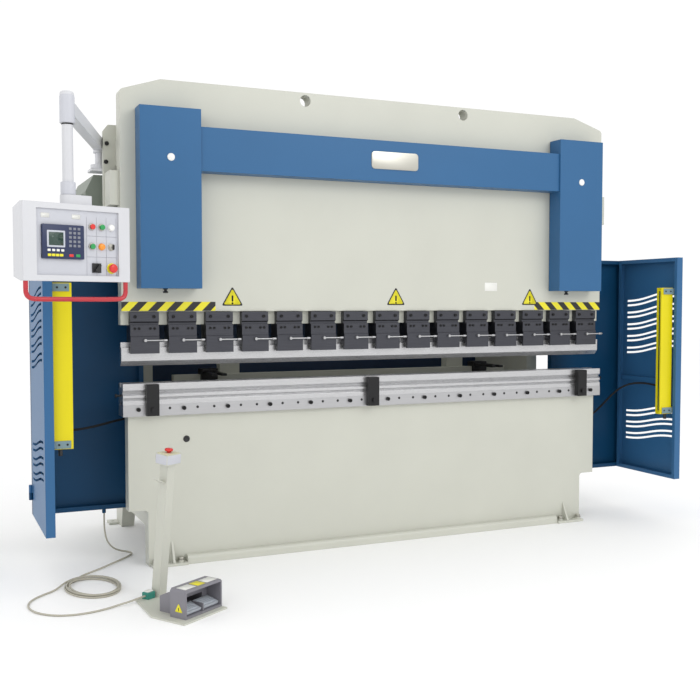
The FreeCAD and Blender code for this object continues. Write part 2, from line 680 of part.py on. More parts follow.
def guard_panel():
    """Fixed tray beside the frame, its two brackets and the fixed hinge halves."""
    panel = tray((WALL_IN_X, DOOR_X), (WALL_Y, WALL_Y + TRAY), (GUARD_BOTTOM, GUARD_TOP), "-y")
    pieces = []
    for z in HINGE_HEIGHTS:
        leaf = box((DOOR_X, DOOR_X + 3), (WALL_Y + 3, WALL_Y + TRAY - 3), (z, z + KNUCKLE_LENGTH))
        knuckle = rod(KNUCKLE_R, (HINGE_X, HINGE_Y, z), (HINGE_X, HINGE_Y, z + KNUCKLE_LENGTH))
        web = box((DOOR_X, DOOR_X + 3), (HINGE_Y, WALL_Y + 4), (z, z + KNUCKLE_LENGTH))
        pin = rod(HINGE_PIN_R, (HINGE_X, HINGE_Y, z), (HINGE_X, HINGE_Y, z + 2 * KNUCKLE_LENGTH))
        pieces.append(leaf.fuse(web).fuse(knuckle).fuse(pin))
    for z in (GUARD_BOTTOM + 250, GUARD_TOP - 160):
        pieces.append(box((FRAME_OUT, WALL_IN_X + 90), (WALL_Y + TRAY, WALL_Y + TRAY + 6),
                          (z, z + 60)).fuse(box((FRAME_OUT, FRAME_OUT + 6),
                                                (WALL_Y + TRAY, WALL_Y + TRAY + 45), (z, z + 60))))
    return [panel] + pieces


SLOT_HEIGHT = 13.0
SLOT_RISE = 62.0
UPPER_SLOTS = [1425 - 81 * pair - 31 * half for pair in range(5) for half in (0, 1)]
LOWER_SLOTS = [665 - 78 * pair - 32 * half for pair in range(3) for half in (0, 1)]


def wave_slot(z, rise):
    """S-shaped slot through a door's skin, climbing towards its free edge."""
    ys = (WALL_Y - 45, DOOR_FRONT_Y + 60)
    span = ys[1] - ys[0]
    low = [(ys[0] + span * t, z + rise * t - 7 * math.sin(2 * math.pi * t))
           for t in [i / 12 for i in range(13)]]
    high = [(y, w + SLOT_HEIGHT) for y, w in reversed(low)]
    return plate_yz(low + high, (DOOR_X - SHEET - 1, DOOR_X + 1))


def door():
    """Hinged tray with wave slots, a cross rail and its hinge knuckles."""
    leaf = tray((DOOR_IN, DOOR_X), (DOOR_FRONT_Y, WALL_Y - DOOR_GAP),
                (GUARD_BOTTOM, GUARD_TOP), "-x")
    slots = [wave_slot(z, SLOT_RISE) for z in UPPER_SLOTS + LOWER_SLOTS]
    leaf = leaf.cut(Part.makeCompound(slots))
    rail = box((DOOR_X - SHEET - 15, DOOR_X - SHEET),
               (DOOR_FRONT_Y + SHEET, WALL_Y - DOOR_GAP - SHEET), (888, 918))
    leaf = leaf.fuse(rail)
    for z in HINGE_HEIGHTS:
        low = z + KNUCKLE_LENGTH + 0.3
        high = low + KNUCKLE_LENGTH
        plate = box((DOOR_X, DOOR_X + 3), (HINGE_Y - 45, HINGE_Y), (low, high))
        knuckle = rod(KNUCKLE_R, (HINGE_X, HINGE_Y, low), (HINGE_X, HINGE_Y, high))
        plate = plate.fuse(knuckle)
        leaf = leaf.fuse(plate.cut(rod(HINGE_PIN_R + 0.05, (HINGE_X, HINGE_Y, low - 5),
                                       (HINGE_X, HINGE_Y, high + 5))))
    return leaf


CURTAIN_IN = DOOR_X - TRAY - CURTAIN_WIDTH - 3.0
CURTAIN_FRONT = DOOR_FRONT_Y + 35.0


def light_curtain():
    """Sensor bar with a recessed window facing inwards, end brackets and a plug."""
    ys = (CURTAIN_FRONT, CURTAIN_FRONT + CURTAIN_DEPTH)
    bar = box((CURTAIN_IN, CURTAIN_IN + CURTAIN_WIDTH), ys, (CURTAIN_BOTTOM, CURTAIN_TOP))
    window = box((CURTAIN_IN - 1, CURTAIN_IN + 4), (ys[0] + 10, ys[0] + 26),
                 (CURTAIN_BOTTOM + 20, CURTAIN_TOP - 20))
    bar = bar.cut(window)
    pieces = [bar]
    for z in (CURTAIN_BOTTOM + 4, CURTAIN_TOP - 42):
        front = box((CURTAIN_IN + 12, DOOR_X - SHEET), (ys[0] - 6, ys[0]), (z, z + 38))
        side = box((CURTAIN_IN + CURTAIN_WIDTH, DOOR_X - SHEET), (ys[0] - 6, ys[1]), (z, z + 38))
        bracket = front.fuse(side)
        for x in (CURTAIN_IN + 29, CURTAIN_IN + 69):
            bracket = bracket.cut(rod(5, (x, ys[0] - 7, z + 19), (x, ys[0] - 3, z + 19)))
        pieces.append(bracket)
    plug_x = CURTAIN_IN + 60
    plug_y = (ys[0] + ys[1]) / 2
    pieces.append(rod(9, (plug_x, plug_y, CURTAIN_BOTTOM - 34), (plug_x, plug_y, CURTAIN_BOTTOM)))
    return pieces


CABINET_X = (-FRAME_OUT - 298.0, -FRAME_OUT)
CABINET_Y = (WALL_Y + TRAY + 50.0, 900.0)
CABINET_Z = (900.0, 2125.0)


def electrical_cabinet():
    """Cabinet on the left frame: shell with a sloping corner, door and catch."""
    def body(wall):
        xs = (CABINET_X[0] + wall, CABINET_X[1] - wall)
        zs = (CABINET_Z[0] + wall, CABINET_Z[1] - wall)
        outline = [(xs[0], zs[0]), (xs[1], zs[0]), (xs[1], zs[1]),
                   (xs[0] + 45, zs[1]), (xs[0], zs[1] - 92)]
        return plate_xz(outline, (CABINET_Y[0] + wall, CABINET_Y[1] - wall))
    opening = box((CABINET_X[0] - 1, CABINET_X[0] + 5), (CABINET_Y[0] + 40, CABINET_Y[1] - 40),
                  (CABINET_Z[0] + 40, CABINET_Z[1] - 150))
    cabinet = body(0).cut(body(SHEET)).cut(opening)
    panel = box((CABINET_X[0] - 20, CABINET_X[0]), (CABINET_Y[0] + 15, CABINET_Y[1] - 15),
                (CABINET_Z[0] + 15, CABINET_Z[1] - 110))
    catch = rod(16, (CABINET_X[0] - 20, CABINET_Y[0] + 50, CABINET_Z[1] - 135),
                (CABINET_X[0] - 42, CABINET_Y[0] + 50, CABINET_Z[1] - 135))
    return cabinet, panel.fuse(catch)


# ---------------------------------------------------------------- backgauge
GAUGE_X = FRAME_IN - 500.0
GAUGE_RAIL_Z = (CROSSMEMBER_TOP, CROSSMEMBER_TOP + 60)
GAUGE_RAIL_HALF = 32.0
GAUGE_Y = 520.0
FINGER_X = FRAME_IN - 350.0
GAUGE_BEAM_HALF = FRAME_IN - 140.0
GAUGE_BEAM_Y = (GAUGE_Y - 60, GAUGE_Y)
GAUGE_BEAM_Z = (940.0, 990.0)
RUN_GAP = 0.3
FINGER_REACH = 240.0


def backgauge_rails():
    """Two rails from the bed to the rear plate, and the drive motor with its screw."""
    rails = [box((side * GAUGE_X - GAUGE_RAIL_HALF, side * GAUGE_X + GAUGE_RAIL_HALF),
                 (BED_BACK, CROSSMEMBER_Y + 40), GAUGE_RAIL_Z) for side in (-1, 1)]
    z = CROSSMEMBER_TOP - 40
    bearing = box((-40, 40), (BED_BACK, BED_BACK + 40), (z - 40, z + 40))
    screw = rod(12, (0, BED_BACK + 40, z), (0, CROSSMEMBER_Y, z))
    motor = box((-55, 55), (CROSSMEMBER_Y - 130, CROSSMEMBER_Y), (z - 55, z + 55))
    return rails + [bearing, screw.fuse(motor)]


def backgauge_beam():
    """Cross beam on two towers with rail shoes, and the nut on the drive screw."""
    beam = box((-GAUGE_BEAM_HALF, GAUGE_BEAM_HALF), GAUGE_BEAM_Y, GAUGE_BEAM_Z)
    pieces = [beam]
    for side in (-1, 1):
        x = side * GAUGE_X
        tower = box((x - 62, x + 62), (GAUGE_Y, GAUGE_Y + 70), (GAUGE_RAIL_Z[1] + RUN_GAP, 1120))
        for edge in (-1, 1):
            inner = x + edge * (GAUGE_RAIL_HALF + RUN_GAP)
            outer = x + edge * 62
            tower = tower.fuse(box(sorted((inner, outer)), (GAUGE_Y, GAUGE_Y + 70),
                                   (GAUGE_RAIL_Z[0] + 8, GAUGE_RAIL_Z[1] + 2)))
        pieces.append(tower)
    z = CROSSMEMBER_TOP - 40
    arm = box((-30, 30), (GAUGE_Y - 50, GAUGE_Y), (z - 35, GAUGE_BEAM_Z[0]))
    pieces.append(arm.cut(rod(12.05, (0, GAUGE_Y - 60, z), (0, GAUGE_Y + 10, z))))
    return pieces


def finger(side):
    """Stop block that slides along the beam and carries two flat fingers."""
    x = side * FINGER_X
    low = GAUGE_BEAM_Z[1] + RUN_GAP
    front = GAUGE_BEAM_Y[0] - RUN_GAP
    saddle = box((x - 50, x + 50), (front - 26, GAUGE_BEAM_Y[1] - 4), (low, low + 34))
    apron = box((x - 50, x + 50), (front - 26, front), (GAUGE_BEAM_Z[0] + 4, low + 4))
    block = saddle.fuse(apron)
    for offset in (-28, 28):
        tip = box((x + offset - 14, x + offset + 14), (front - FINGER_REACH, front - 20),
                  (low + 6, low + 20))
        block = block.fuse(tip)
    return block


# ---------------------------------------------------------------- control pendant
def turned(shape, angle, about, axis=(0, 0, 1)):
    """The shape turned by an angle in degrees about an axis through a point."""
    return shape.rotate(Vector(*about), Vector(*axis), angle)


HUB_R = 30.0
HUB_Z = (ARM_Z - 46, ARM_Z + ARM_HEIGHT / 2 + 6)
SPIGOT_R = 14.0
FLANGE_Z = (2125.0, 2165.0)
HEAD_Z = (ARM_Z - 70, ARM_Z + 70)
TUBE_GAP = 0.3


def arm_bracket():
    """Shelf behind the cross plate's left edge with the arm's flanged pivot post."""
    x, y = ARM_PIVOT
    shelf = box((x - 52, x + 62), (CROSS_BACK, y + 52), (FLANGE_Z[0], FLANGE_Z[0] + 14))
    rib = plate_yz([(CROSS_BACK, FLANGE_Z[0] - 90), (CROSS_BACK, FLANGE_Z[0]),
                    (y + 45, FLANGE_Z[0])], (x + 40, x + 52))
    flange = rod(44, (x, y, FLANGE_Z[0] + 14), (x, y, FLANGE_Z[1]))
    post = rod(20, (x, y, FLANGE_Z[1]), (x, y, HUB_Z[0] - TUBE_GAP))
    spigot = rod(SPIGOT_R, (x, y, HUB_Z[0] - TUBE_GAP - 1), (x, y, HUB_Z[1] - 10))
    return shelf.fuse(rib).fuse(flange).fuse(post).fuse(spigot)


def pendant_arm():
    """Box-section arm with its hub, end cap and the round head over the drop tube."""
    hub = rod(HUB_R, (0, 0, HUB_Z[0]), (0, 0, HUB_Z[1]))
    bar = box((-ARM_WIDTH / 2, ARM_WIDTH / 2), (-ARM_REACH, 0),
              (ARM_Z - ARM_HEIGHT / 2, ARM_Z + ARM_HEIGHT / 2))
    head = rod(HEAD_R, (0, -ARM_REACH, HEAD_Z[0]), (0, -ARM_REACH, HEAD_Z[1]))
    head = round_edges(head, 12, lambda c: c.z > HEAD_Z[1] - 1)
    arm = hub.fuse(bar).fuse(head)
    socket = rod(SPIGOT_R + 0.05, (0, 0, HUB_Z[0] - 1), (0, 0, HUB_Z[1] - 9))
    pocket = rod(TUBE_R - 6 + 0.05, (0, -ARM_REACH, HEAD_Z[0] - 1),
                 (0, -ARM_REACH, HEAD_Z[0] + 61))
    arm = arm.cut(socket).cut(pocket)
    arm = turned(arm, -ARM_TURN, (0, 0, 0))
    arm.translate(Vector(ARM_PIVOT[0], ARM_PIVOT[1], 0))
    return arm


def pendant_axis():
    """Place of the drop tube, below the arm's head."""
    angle = math.radians(ARM_TURN)
    return (ARM_PIVOT[0] - ARM_REACH * math.sin(angle),
            ARM_PIVOT[1] - ARM_REACH * math.cos(angle))


def hang(shape):
    """Turn a piece drawn round the drop tube's axis and put it under the arm."""
    x, y = pendant_axis()
    shape = turned(shape, CASE_TURN, (0, 0, 0))
    shape.translate(Vector(x, y, 0))
    return shape


ELBOW_TOP = CASE_TOP + 44.0
COLLAR_TOP = ELBOW_TOP + 57.0
CASE_FRONT = -CASE_DEPTH / 2
CASE_BACK = CASE_DEPTH / 2


def drop_tube():
    """Tube with its trunnion in the head, collar and the elbow on the case."""
    trunnion = rod(TUBE_R - 6, (0, 0, HEAD_Z[0] - TUBE_GAP - 1), (0, 0, HEAD_Z[0] + 60))
    tube = rod(TUBE_R, (0, 0, COLLAR_TOP - 1), (0, 0, HEAD_Z[0] - TUBE_GAP))
    collar = rod(HEAD_R, (0, 0, ELBOW_TOP - 1), (0, 0, COLLAR_TOP))
    elbow = box((0, 95), (-36, 36), (CASE_TOP, ELBOW_TOP))
    elbow = elbow.fuse(rod(36, (0, 0, CASE_TOP), (0, 0, ELBOW_TOP)))
    return hang(trunnion.fuse(tube).fuse(collar).fuse(elbow))


def case_rim(inset, depth, drop):
    """Rectangle of the case at a depth, drawn in by an inset on every side."""
    xs = (CASE_LEFT + inset, CASE_RIGHT - inset)
    zs = (CASE_BOTTOM + inset + drop, CASE_TOP - inset - drop)
    corners = [(xs[0], depth, zs[0]), (xs[1], depth, zs[0]), (xs[1], depth, zs[1]),
               (xs[0], depth, zs[1])]
    return Part.makePolygon([Vector(*c) for c in corners + corners[:1]])


def pendant_case():
    """Case that narrows to the back behind a flat band, hollow behind its panel."""
    band = 26.0
    flat = Part.makeBox(CASE_RIGHT - CASE_LEFT, band, CASE_TOP - CASE_BOTTOM,
                        Vector(CASE_LEFT, CASE_FRONT, CASE_BOTTOM))
    rear = Part.makeLoft([case_rim(0, CASE_FRONT + band, 0), case_rim(CASE_TAPER, CASE_BACK, 0)],
                         True, True)
    seat = box((-60, 120), (-40, 40), (CASE_TOP - 22, CASE_TOP))
    case = flat.fuse(rear).fuse(seat)
    panel_zs = (CASE_BOTTOM + PANEL_MARGIN, CASE_TOP - PANEL_MARGIN)
    pocket = box((PANEL_LEFT, PANEL_RIGHT), (CASE_FRONT - 1, CASE_FRONT + PANEL_RECESS + PANEL_THICK),
                 panel_zs)
    cavity = box((PANEL_LEFT + 12, PANEL_RIGHT - 12), (CASE_FRONT, CASE_BACK - CASE_WALL),
                 (panel_zs[0] + 12, panel_zs[1] - 12))
    return hang(case.cut(pocket).cut(cavity))


PANEL_FACE = CASE_FRONT + PANEL_RECESS
HOLE_GAP = 0.3
# Controls on the panel: place along the panel and height
COL_X = (80.0, 128.0, 176.0)
ROW_Z = (1753.0, 1666.0, 1571.0)
CONTROLS = {
    "red_button": (COL_X[0], ROW_Z[0]),
    "green_button": (COL_X[1], ROW_Z[0]),
    "lower_green_button": (COL_X[0], ROW_Z[1]),
    "key_switch": (COL_X[2], ROW_Z[1]),
    "main_switch": (COL_X[1] - 27, ROW_Z[2]),
    "estop_button": (COL_X[2], ROW_Z[2]),
}
BARREL_R = 9.0
CONTROLLER_X = (-158.0, 34.0)
CONTROLLER_Z = (1608.0, 1752.0)


def facing(radius, x, z, near, far):
    """Round bar square to the panel, from near to far in front of its face."""
    return rod(radius, (x, PANEL_FACE - near, z), (x, PANEL_FACE - far, z))


def control_panel():
    """Panel sheet with its barrel holes, bezels, two lamps and the controller."""
    panel = box((PANEL_LEFT, PANEL_RIGHT), (PANEL_FACE, PANEL_FACE + PANEL_THICK),
                (CASE_BOTTOM + PANEL_MARGIN, CASE_TOP - PANEL_MARGIN))
    for x, z in CONTROLS.values():
        panel = panel.cut(facing(BARREL_R + HOLE_GAP, x, z, 1, -PANEL_THICK - 1))
    pieces = [hang(panel)]
    for name, (x, z) in CONTROLS.items():
        if name != "main_switch":
            ring = facing(16 if name != "estop_button" else 24, x, z, 0, 3)
            pieces.append(hang(ring.cut(facing(BARREL_R + HOLE_GAP, x, z, -1, 4))))
    for x, z in ((COL_X[2], ROW_Z[0]), (COL_X[1], ROW_Z[1])):
        pieces.append(hang(facing(14, x, z, 0, 9)))
    body = box(CONTROLLER_X, (PANEL_FACE - 12, PANEL_FACE), CONTROLLER_Z)
    screen = box((CONTROLLER_X[0] + 18, CONTROLLER_X[0] + 100), (PANEL_FACE - 13, PANEL_FACE - 9),
                 (CONTROLLER_Z[0] + 58, CONTROLLER_Z[1] - 22))
    body = body.cut(screen)
    pieces.append(hang(body))
    return pieces


def push_button(x, z):
    """Flush button: cap in front of its bezel and a barrel through the panel."""
    return hang(facing(12, x, z, 9, 16).fuse(facing(BARREL_R, x, z, 10, -PANEL_THICK - 8)))


def estop_button(x, z):
    """Mushroom head on its barrel."""
    return hang(facing(20, x, z, 14, 28).fuse(facing(BARREL_R, x, z, 15, -PANEL_THICK - 8)))


def key_switch(x, z):
    """Round lock front with a turning key."""
    key = box((x - 1.5, x + 1.5), (PANEL_FACE - 26, PANEL_FACE - 8), (z - 9, z + 9))
    return hang(facing(12, x, z, 3.3, 9).fuse(facing(BARREL_R, x, z, 5, -PANEL_THICK - 8)).fuse(key))


def main_switch(x, z):
    """Square switch front that turns, with a raised grip."""
    plate = box((x - 21, x + 21), (PANEL_FACE - 7, PANEL_FACE - 0.3), (z - 21, z + 21))
    grip = box((x - 5, x + 5), (PANEL_FACE - 22, PANEL_FACE - 6), (z - 18, z + 18))
    grip = turned(grip, 40, (x, 0, z), (0, 1, 0))
    return hang(plate.fuse(grip).fuse(facing(BARREL_R, x, z, 1, -PANEL_THICK - 8)))


def pendant_handle():
    """Round bar bent into a wide loop under the case."""
    drop = CASE_BOTTOM - 78
    left, right = CASE_LEFT + 16, CASE_RIGHT - 16
    y = CASE_FRONT + 14
    route = [(left, y, CASE_BOTTOM), (left, y, drop + 30), (left + 52, y, drop),
             (right - 52, y, drop), (right, y, drop + 30), (right, y, CASE_BOTTOM)]
    bar, _ = tube_along(route, 11, [26, 26, 26, 26])
    return hang(bar)


# ---------------------------------------------------------------- pedal station
def stand(shape):
    """Turn a piece drawn in the station's own corner frame and put it in place."""
    shape = turned(shape, STAND_TURN, (0, 0, 0))
    shape.translate(Vector(STAND_X, STAND_Y, 0))
    return shape


POST_AT = (250.0, 395.0)


def leaned(shape):
    """Tilt a piece drawn upright on the post's foot towards the operator."""
    shape = turned(shape, POST_LEAN, (0, 0, 0), (1, 0, 0))
    shape.translate(Vector(POST_AT[0], POST_AT[1], BASE_THICK))
    return shape


def pedal_base():
    """Floor plate with one corner cut back."""
    return stand(plate_xy([(0, 0), (290, 0), (290, 440), (140, 440), (0, 200)],
                          (0, BASE_THICK)))


def pedal_post():
    """Leaning square post with a carrying lug, and the switch box on its top."""
    half = POST_SIZE / 2
    post = box((-half, half), (-half, half), (-20, POST_HEIGHT))
    lug = box((-half - 62, -half + 2), (-16, 16), (POST_HEIGHT - 92, POST_HEIGHT - 87))
    lug = turned(lug, 24, (-half, 0, POST_HEIGHT - 90), (0, 1, 0))
    post = leaned(post.fuse(lug))
    floor = box((-200, 600), (-200, 800), (-60, BASE_THICK))
    width, depth, height = ESTOP_BOX
    case = box((-width / 2, width / 2), (-depth / 2, depth / 2),
               (POST_HEIGHT, POST_HEIGHT + height))
    case = case.cut(rod(BARREL_R + HOLE_GAP, (0, 0, POST_HEIGHT + height - 20),
                        (0, 0, POST_HEIGHT + height + 1)))
    return stand(post.cut(floor)), stand(leaned(case))


def stand_estop():
    """Mushroom button on the switch box."""
    top = POST_HEIGHT + ESTOP_BOX[2]
    head = rod(20, (0, 0, top + 9), (0, 0, top + 24))
    return stand(leaned(head.fuse(rod(BARREL_R, (0, 0, top - 12), (0, 0, top + 10)))))


HOUSING_AT = (42.0, 30.0)
HOUSING_DEPTH = 190.0
HOOD_DEPTH = 94.0
HOOD_CHAMFER = 10.0
REAR_INSET = 34.0
REAR_LOW = 72.0
REAR_DROP = 14.0
PEDAL_Y = 22.0
PEDAL_Z = 20.0
PEDAL_SLOPE = 15.0
PEDAL_LENGTH = 60.0
PEDAL_SIDE_GAP = 4.0
PEDAL_PIN_R = 4.0
RIB_PITCH = 12.0
DIVIDER = 6.0
DIVIDER_HEIGHT = 44.0
BAY = (HOUSING_WIDTH - DIVIDER) / 2 - HOUSING_WALL


def bay_centre(side):
    """Middle of one pedal's bay across the housing."""
    return HOUSING_WIDTH / 2 + side * (DIVIDER + BAY) / 2


def pedal_housing():
    """Cast hood over two pedals, open at the front, with a narrower, falling rear."""
    w, d, h, t, e = HOUSING_WIDTH, HOUSING_DEPTH, HOUSING_HEIGHT, HOUSING_WALL, HOOD_CHAMFER
    hood = plate_xz([(0, 0), (w, 0), (w, h - e), (w - e, h), (e, h), (0, h - e)],
                    (0, HOOD_DEPTH))
    rear = plate_yz([(HOOD_DEPTH - 1, 0), (d, 0), (d, REAR_LOW), (HOOD_DEPTH - 1, h - REAR_DROP)],
                    (REAR_INSET, w - REAR_INSET))
    mouth = box((t, w - t), (-1, HOOD_DEPTH - t), (t + 2, h - t - e / 2))
    back = box((REAR_INSET + t, w - REAR_INSET - t), (HOOD_DEPTH - t - 1, d - t),
               (t + 2, REAR_LOW - t))
    divider = box(((w - DIVIDER) / 2, (w + DIVIDER) / 2), (6, HOOD_DEPTH), (0, DIVIDER_HEIGHT))
    hood = hood.fuse(rear).cut(mouth.fuse(back).cut(divider))
    reach = BAY / 2 + 3
    for side in (-1, 1):
        centre = bay_centre(side)
        hood = hood.cut(rod(PEDAL_PIN_R + 0.05, (centre - reach, PEDAL_Y, PEDAL_Z),
                            (centre + reach, PEDAL_Y, PEDAL_Z)))
    hood.translate(Vector(HOUSING_AT[0], HOUSING_AT[1], BASE_THICK))
    return stand(hood)


def pedal(side):
    """Ribbed pedal plate on its cross pin, raised towards the back."""
    centre = bay_centre(side)
    half = BAY / 2 - PEDAL_SIDE_GAP
    plate = box((centre - half, centre + half), (-8, PEDAL_LENGTH), (2, 9))
    for i in range(int((PEDAL_LENGTH - 10) // RIB_PITCH)):
        low = 6 + i * RIB_PITCH
        plate = plate.fuse(box((centre - half + 8, centre + half - 8), (low, low + 5), (8, 12)))
    boss = rod(8, (centre - half, 0, 0), (centre + half, 0, 0))
    pin = rod(PEDAL_PIN_R, (centre - BAY / 2 - 1, 0, 0), (centre + BAY / 2 + 1, 0, 0))
    piece = turned(plate.fuse(boss), PEDAL_SLOPE, (0, 0, 0), (1, 0, 0)).fuse(pin)
    piece.translate(Vector(HOUSING_AT[0], HOUSING_AT[1] + PEDAL_Y, BASE_THICK + PEDAL_Z))
    return stand(piece)


PLUG_AT = (168.0, 404.0)
PLUG_SIZE = (46.0, 40.0, 32.0)


def plug_connector():
    """Connector on the floor plate that takes the foot cord."""
    x, y = PLUG_AT
    body = box((x, x + PLUG_SIZE[0]), (y - PLUG_SIZE[1] / 2, y + PLUG_SIZE[1] / 2),
               (BASE_THICK, BASE_THICK + PLUG_SIZE[2]))
    return stand(round_edges(body, 4, lambda c: c.z > BASE_THICK + PLUG_SIZE[2] - 1))


# ---------------------------------------------------------------- cords
CORD_EXIT = (-1600.0, WALL_Y + 27.0, 250.0)
COIL_AT = (-1757.0, -322.0)
COIL_OUTER = (140.0, 195.0)
COIL_WIDTH = 42.0
COIL_HEIGHT = 30.0


def cord_gland():
    """Gland under the left guard panel that the foot cord hangs from."""
    x, y, z = CORD_EXIT
    return rod(10, (x, y, z), (x, y, GUARD_BOTTOM))


def foot_cord_coil():
    """Outer shape of the loose turns lying on the floor."""
    def disc(a, b):
        ring = Part.Ellipse(Vector(0, 0, 0), max(a, b), min(a, b)).toShape()
        face = Part.Face(Part.Wire([ring]))
        return face.extrude(Vector(0, 0, COIL_HEIGHT))
    a, b = COIL_OUTER
    ring = disc(a, b).cut(disc(a - COIL_WIDTH, b - COIL_WIDTH))
    ring = turned(ring, 97, (0, 0, 0))
    ring.translate(Vector(COIL_AT[0], COIL_AT[1], 0.3))
    return ring


FLOOR_Z = CORD_R + 0.3
CORD_DROP = [CORD_EXIT, (-1600, WALL_Y + 27, 205), (-1599, WALL_Y + 21, 150), (-1588, 262, 95),
             (-1556, 283, 46), (-1508, 312, 16), (-1462, 318, FLOOR_Z),
             (-1442, 278, FLOOR_Z), (-1465, 228, FLOOR_Z), (-1520, 165, FLOOR_Z),
             (-1585, 98, FLOOR_Z), (-1650, 30, FLOOR_Z), (-1712, -28, FLOOR_Z),
             (-1772, -78, FLOOR_Z), (-1806, -142, FLOOR_Z)]
PLUG_Z = BASE_THICK + PLUG_SIZE[2] / 2
CORD_LOOP = [(-1884, -234, FLOOR_Z), (-1932, -292, FLOOR_Z), (-1988, -340, FLOOR_Z),
             (-2042, -392, FLOOR_Z), (-2080, -460, FLOOR_Z), (-2088, -545, FLOOR_Z),
             (-2058, -632, FLOOR_Z), (-1995, -698, FLOOR_Z), (-1912, -726, FLOOR_Z),
             (-1826, -718, FLOOR_Z), (-1752, -692, FLOOR_Z), (-1698, -668, 8),
             (-1650, -670, 17)]
CABLE_R = 6.5
LEFT_CABLE = [(-1910, -258, 803), (-1910, -205, 803), (-1893, -140, 782), (-1850, -75, 765),
              (-1790, -18, 757), (-1715, 32, 758), (-1635, 72, 768), (-1555, 100, 782),
              (-1480, 118, 793), (-1420, 122, 795), (-FRAME_OUT, 122, 795)]
RIGHT_CABLE = [(1910, -258, 873), (1910, -205, 873), (1896, -148, 882), (1858, -92, 888),
               (1812, -44, 880), (1766, 2, 850), (1724, 44, 796), (1688, 80, 736),
               (1648, 112, 682), (1598, 136, 638), (1538, 148, 612), (1470, 150, 602),
               (FRAME_OUT, 150, 602)]


def plug_end():
    """Last two points of the foot cord, square to the connector's side."""
    angle = math.radians(STAND_TURN)
    points = []
    for x in (PLUG_AT[0] - 44, PLUG_AT[0]):
        y = PLUG_AT[1]
        points.append((STAND_X + x * math.cos(angle) - y * math.sin(angle),
                       STAND_Y + x * math.sin(angle) + y * math.cos(angle), PLUG_Z))
    return points


# ---------------------------------------------------------------- all nodes
os.makedirs("parts", exist_ok=True)

frame_right = side_frame()
save("side_frame_right", frame_right)
save("side_frame_left", mirror(frame_right))
save("bed_plate", bed_plate())
save("front_feet", *(front_feet() + level_bolts()))
save("cross_plate", cross_plate())
save("rear_crossmember", rear_crossmember())
save("rear_guard", rear_guard())
save("oil_tank", *oil_tank())
save("pump_motor", pump_motor())
save("hydraulic_lines", *(hydraulic_lines() + [front_pipe()]))
cylinder_right = cylinder()
save("cylinder_right", cylinder_right)
save("cylinder_left", mirror(cylinder_right))
cover_right = cylinder_cover()
save("cylinder_cover_right", cover_right)
save("cylinder_cover_left", mirror(cover_right))
save("pipe_cover", pipe_cover())
save("ram_guides", *ram_guides())

save("ram_beam", ram_beam())
rod_right = piston_rod()
save("piston_rods", rod_right, mirror(rod_right))
save("clamp_bodies", *[piece(x) for x in clamp_xs() for piece in (clamp_body, clamp_jaw)])
save("clamp_levers", *[clamp_lever(x) for x in clamp_xs()])
save("punch", punch())
save("die_rail", die_rail())
save("vee_die", vee_die())
save("die_rail_screws", *die_rail_screws())
save("die_clamps", *[die_clamp(x) for x in DIE_CLAMP_X])

panel_right = guard_panel()
save("guard_panel_right", *panel_right)
save("guard_panel_left", *([mirror(piece) for piece in panel_right] + [cord_gland()]))
door_right = door()
save("door_right", door_right)
save("door_left", mirror(door_right))
curtain_right = light_curtain()
save("light_curtain_right", *curtain_right)
save("light_curtain_left", *[mirror(piece) for piece in curtain_right])
save("curtain_cable_left", cord("curtain_cable_left", LEFT_CABLE, CABLE_R))
save("curtain_cable_right", cord("curtain_cable_right", RIGHT_CABLE, CABLE_R))
save("electrical_cabinet", *electrical_cabinet())

save("backgauge_rails", *backgauge_rails())
save("backgauge_beam", *backgauge_beam())
save("finger_left", finger(-1))
save("finger_right", finger(1))

save("arm_bracket", arm_bracket())
save("pendant_arm", pendant_arm())
save("drop_tube", drop_tube())
save("pendant_case", pendant_case())
save("pendant_handle", pendant_handle())
save("control_panel", *control_panel())
for button in ("red_button", "green_button", "lower_green_button"):
    save(button, push_button(*CONTROLS[button]))
save("key_switch", key_switch(*CONTROLS["key_switch"]))
save("main_switch", main_switch(*CONTROLS["main_switch"]))
save("estop_button", estop_button(*CONTROLS["estop_button"]))

save("pedal_base", pedal_base())
save("pedal_post", *pedal_post())
save("stand_estop", stand_estop())
save("pedal_housing", pedal_housing())
save("pedal_left", pedal(-1))
save("pedal_right", pedal(1))
save("plug_connector", plug_connector())
save("foot_cord_drop", cord("foot_cord_drop", CORD_DROP, CORD_R))
save("foot_cord_coil", foot_cord_coil())
save("foot_cord_loop", cord("foot_cord_loop", CORD_LOOP + plug_end(), CORD_R))
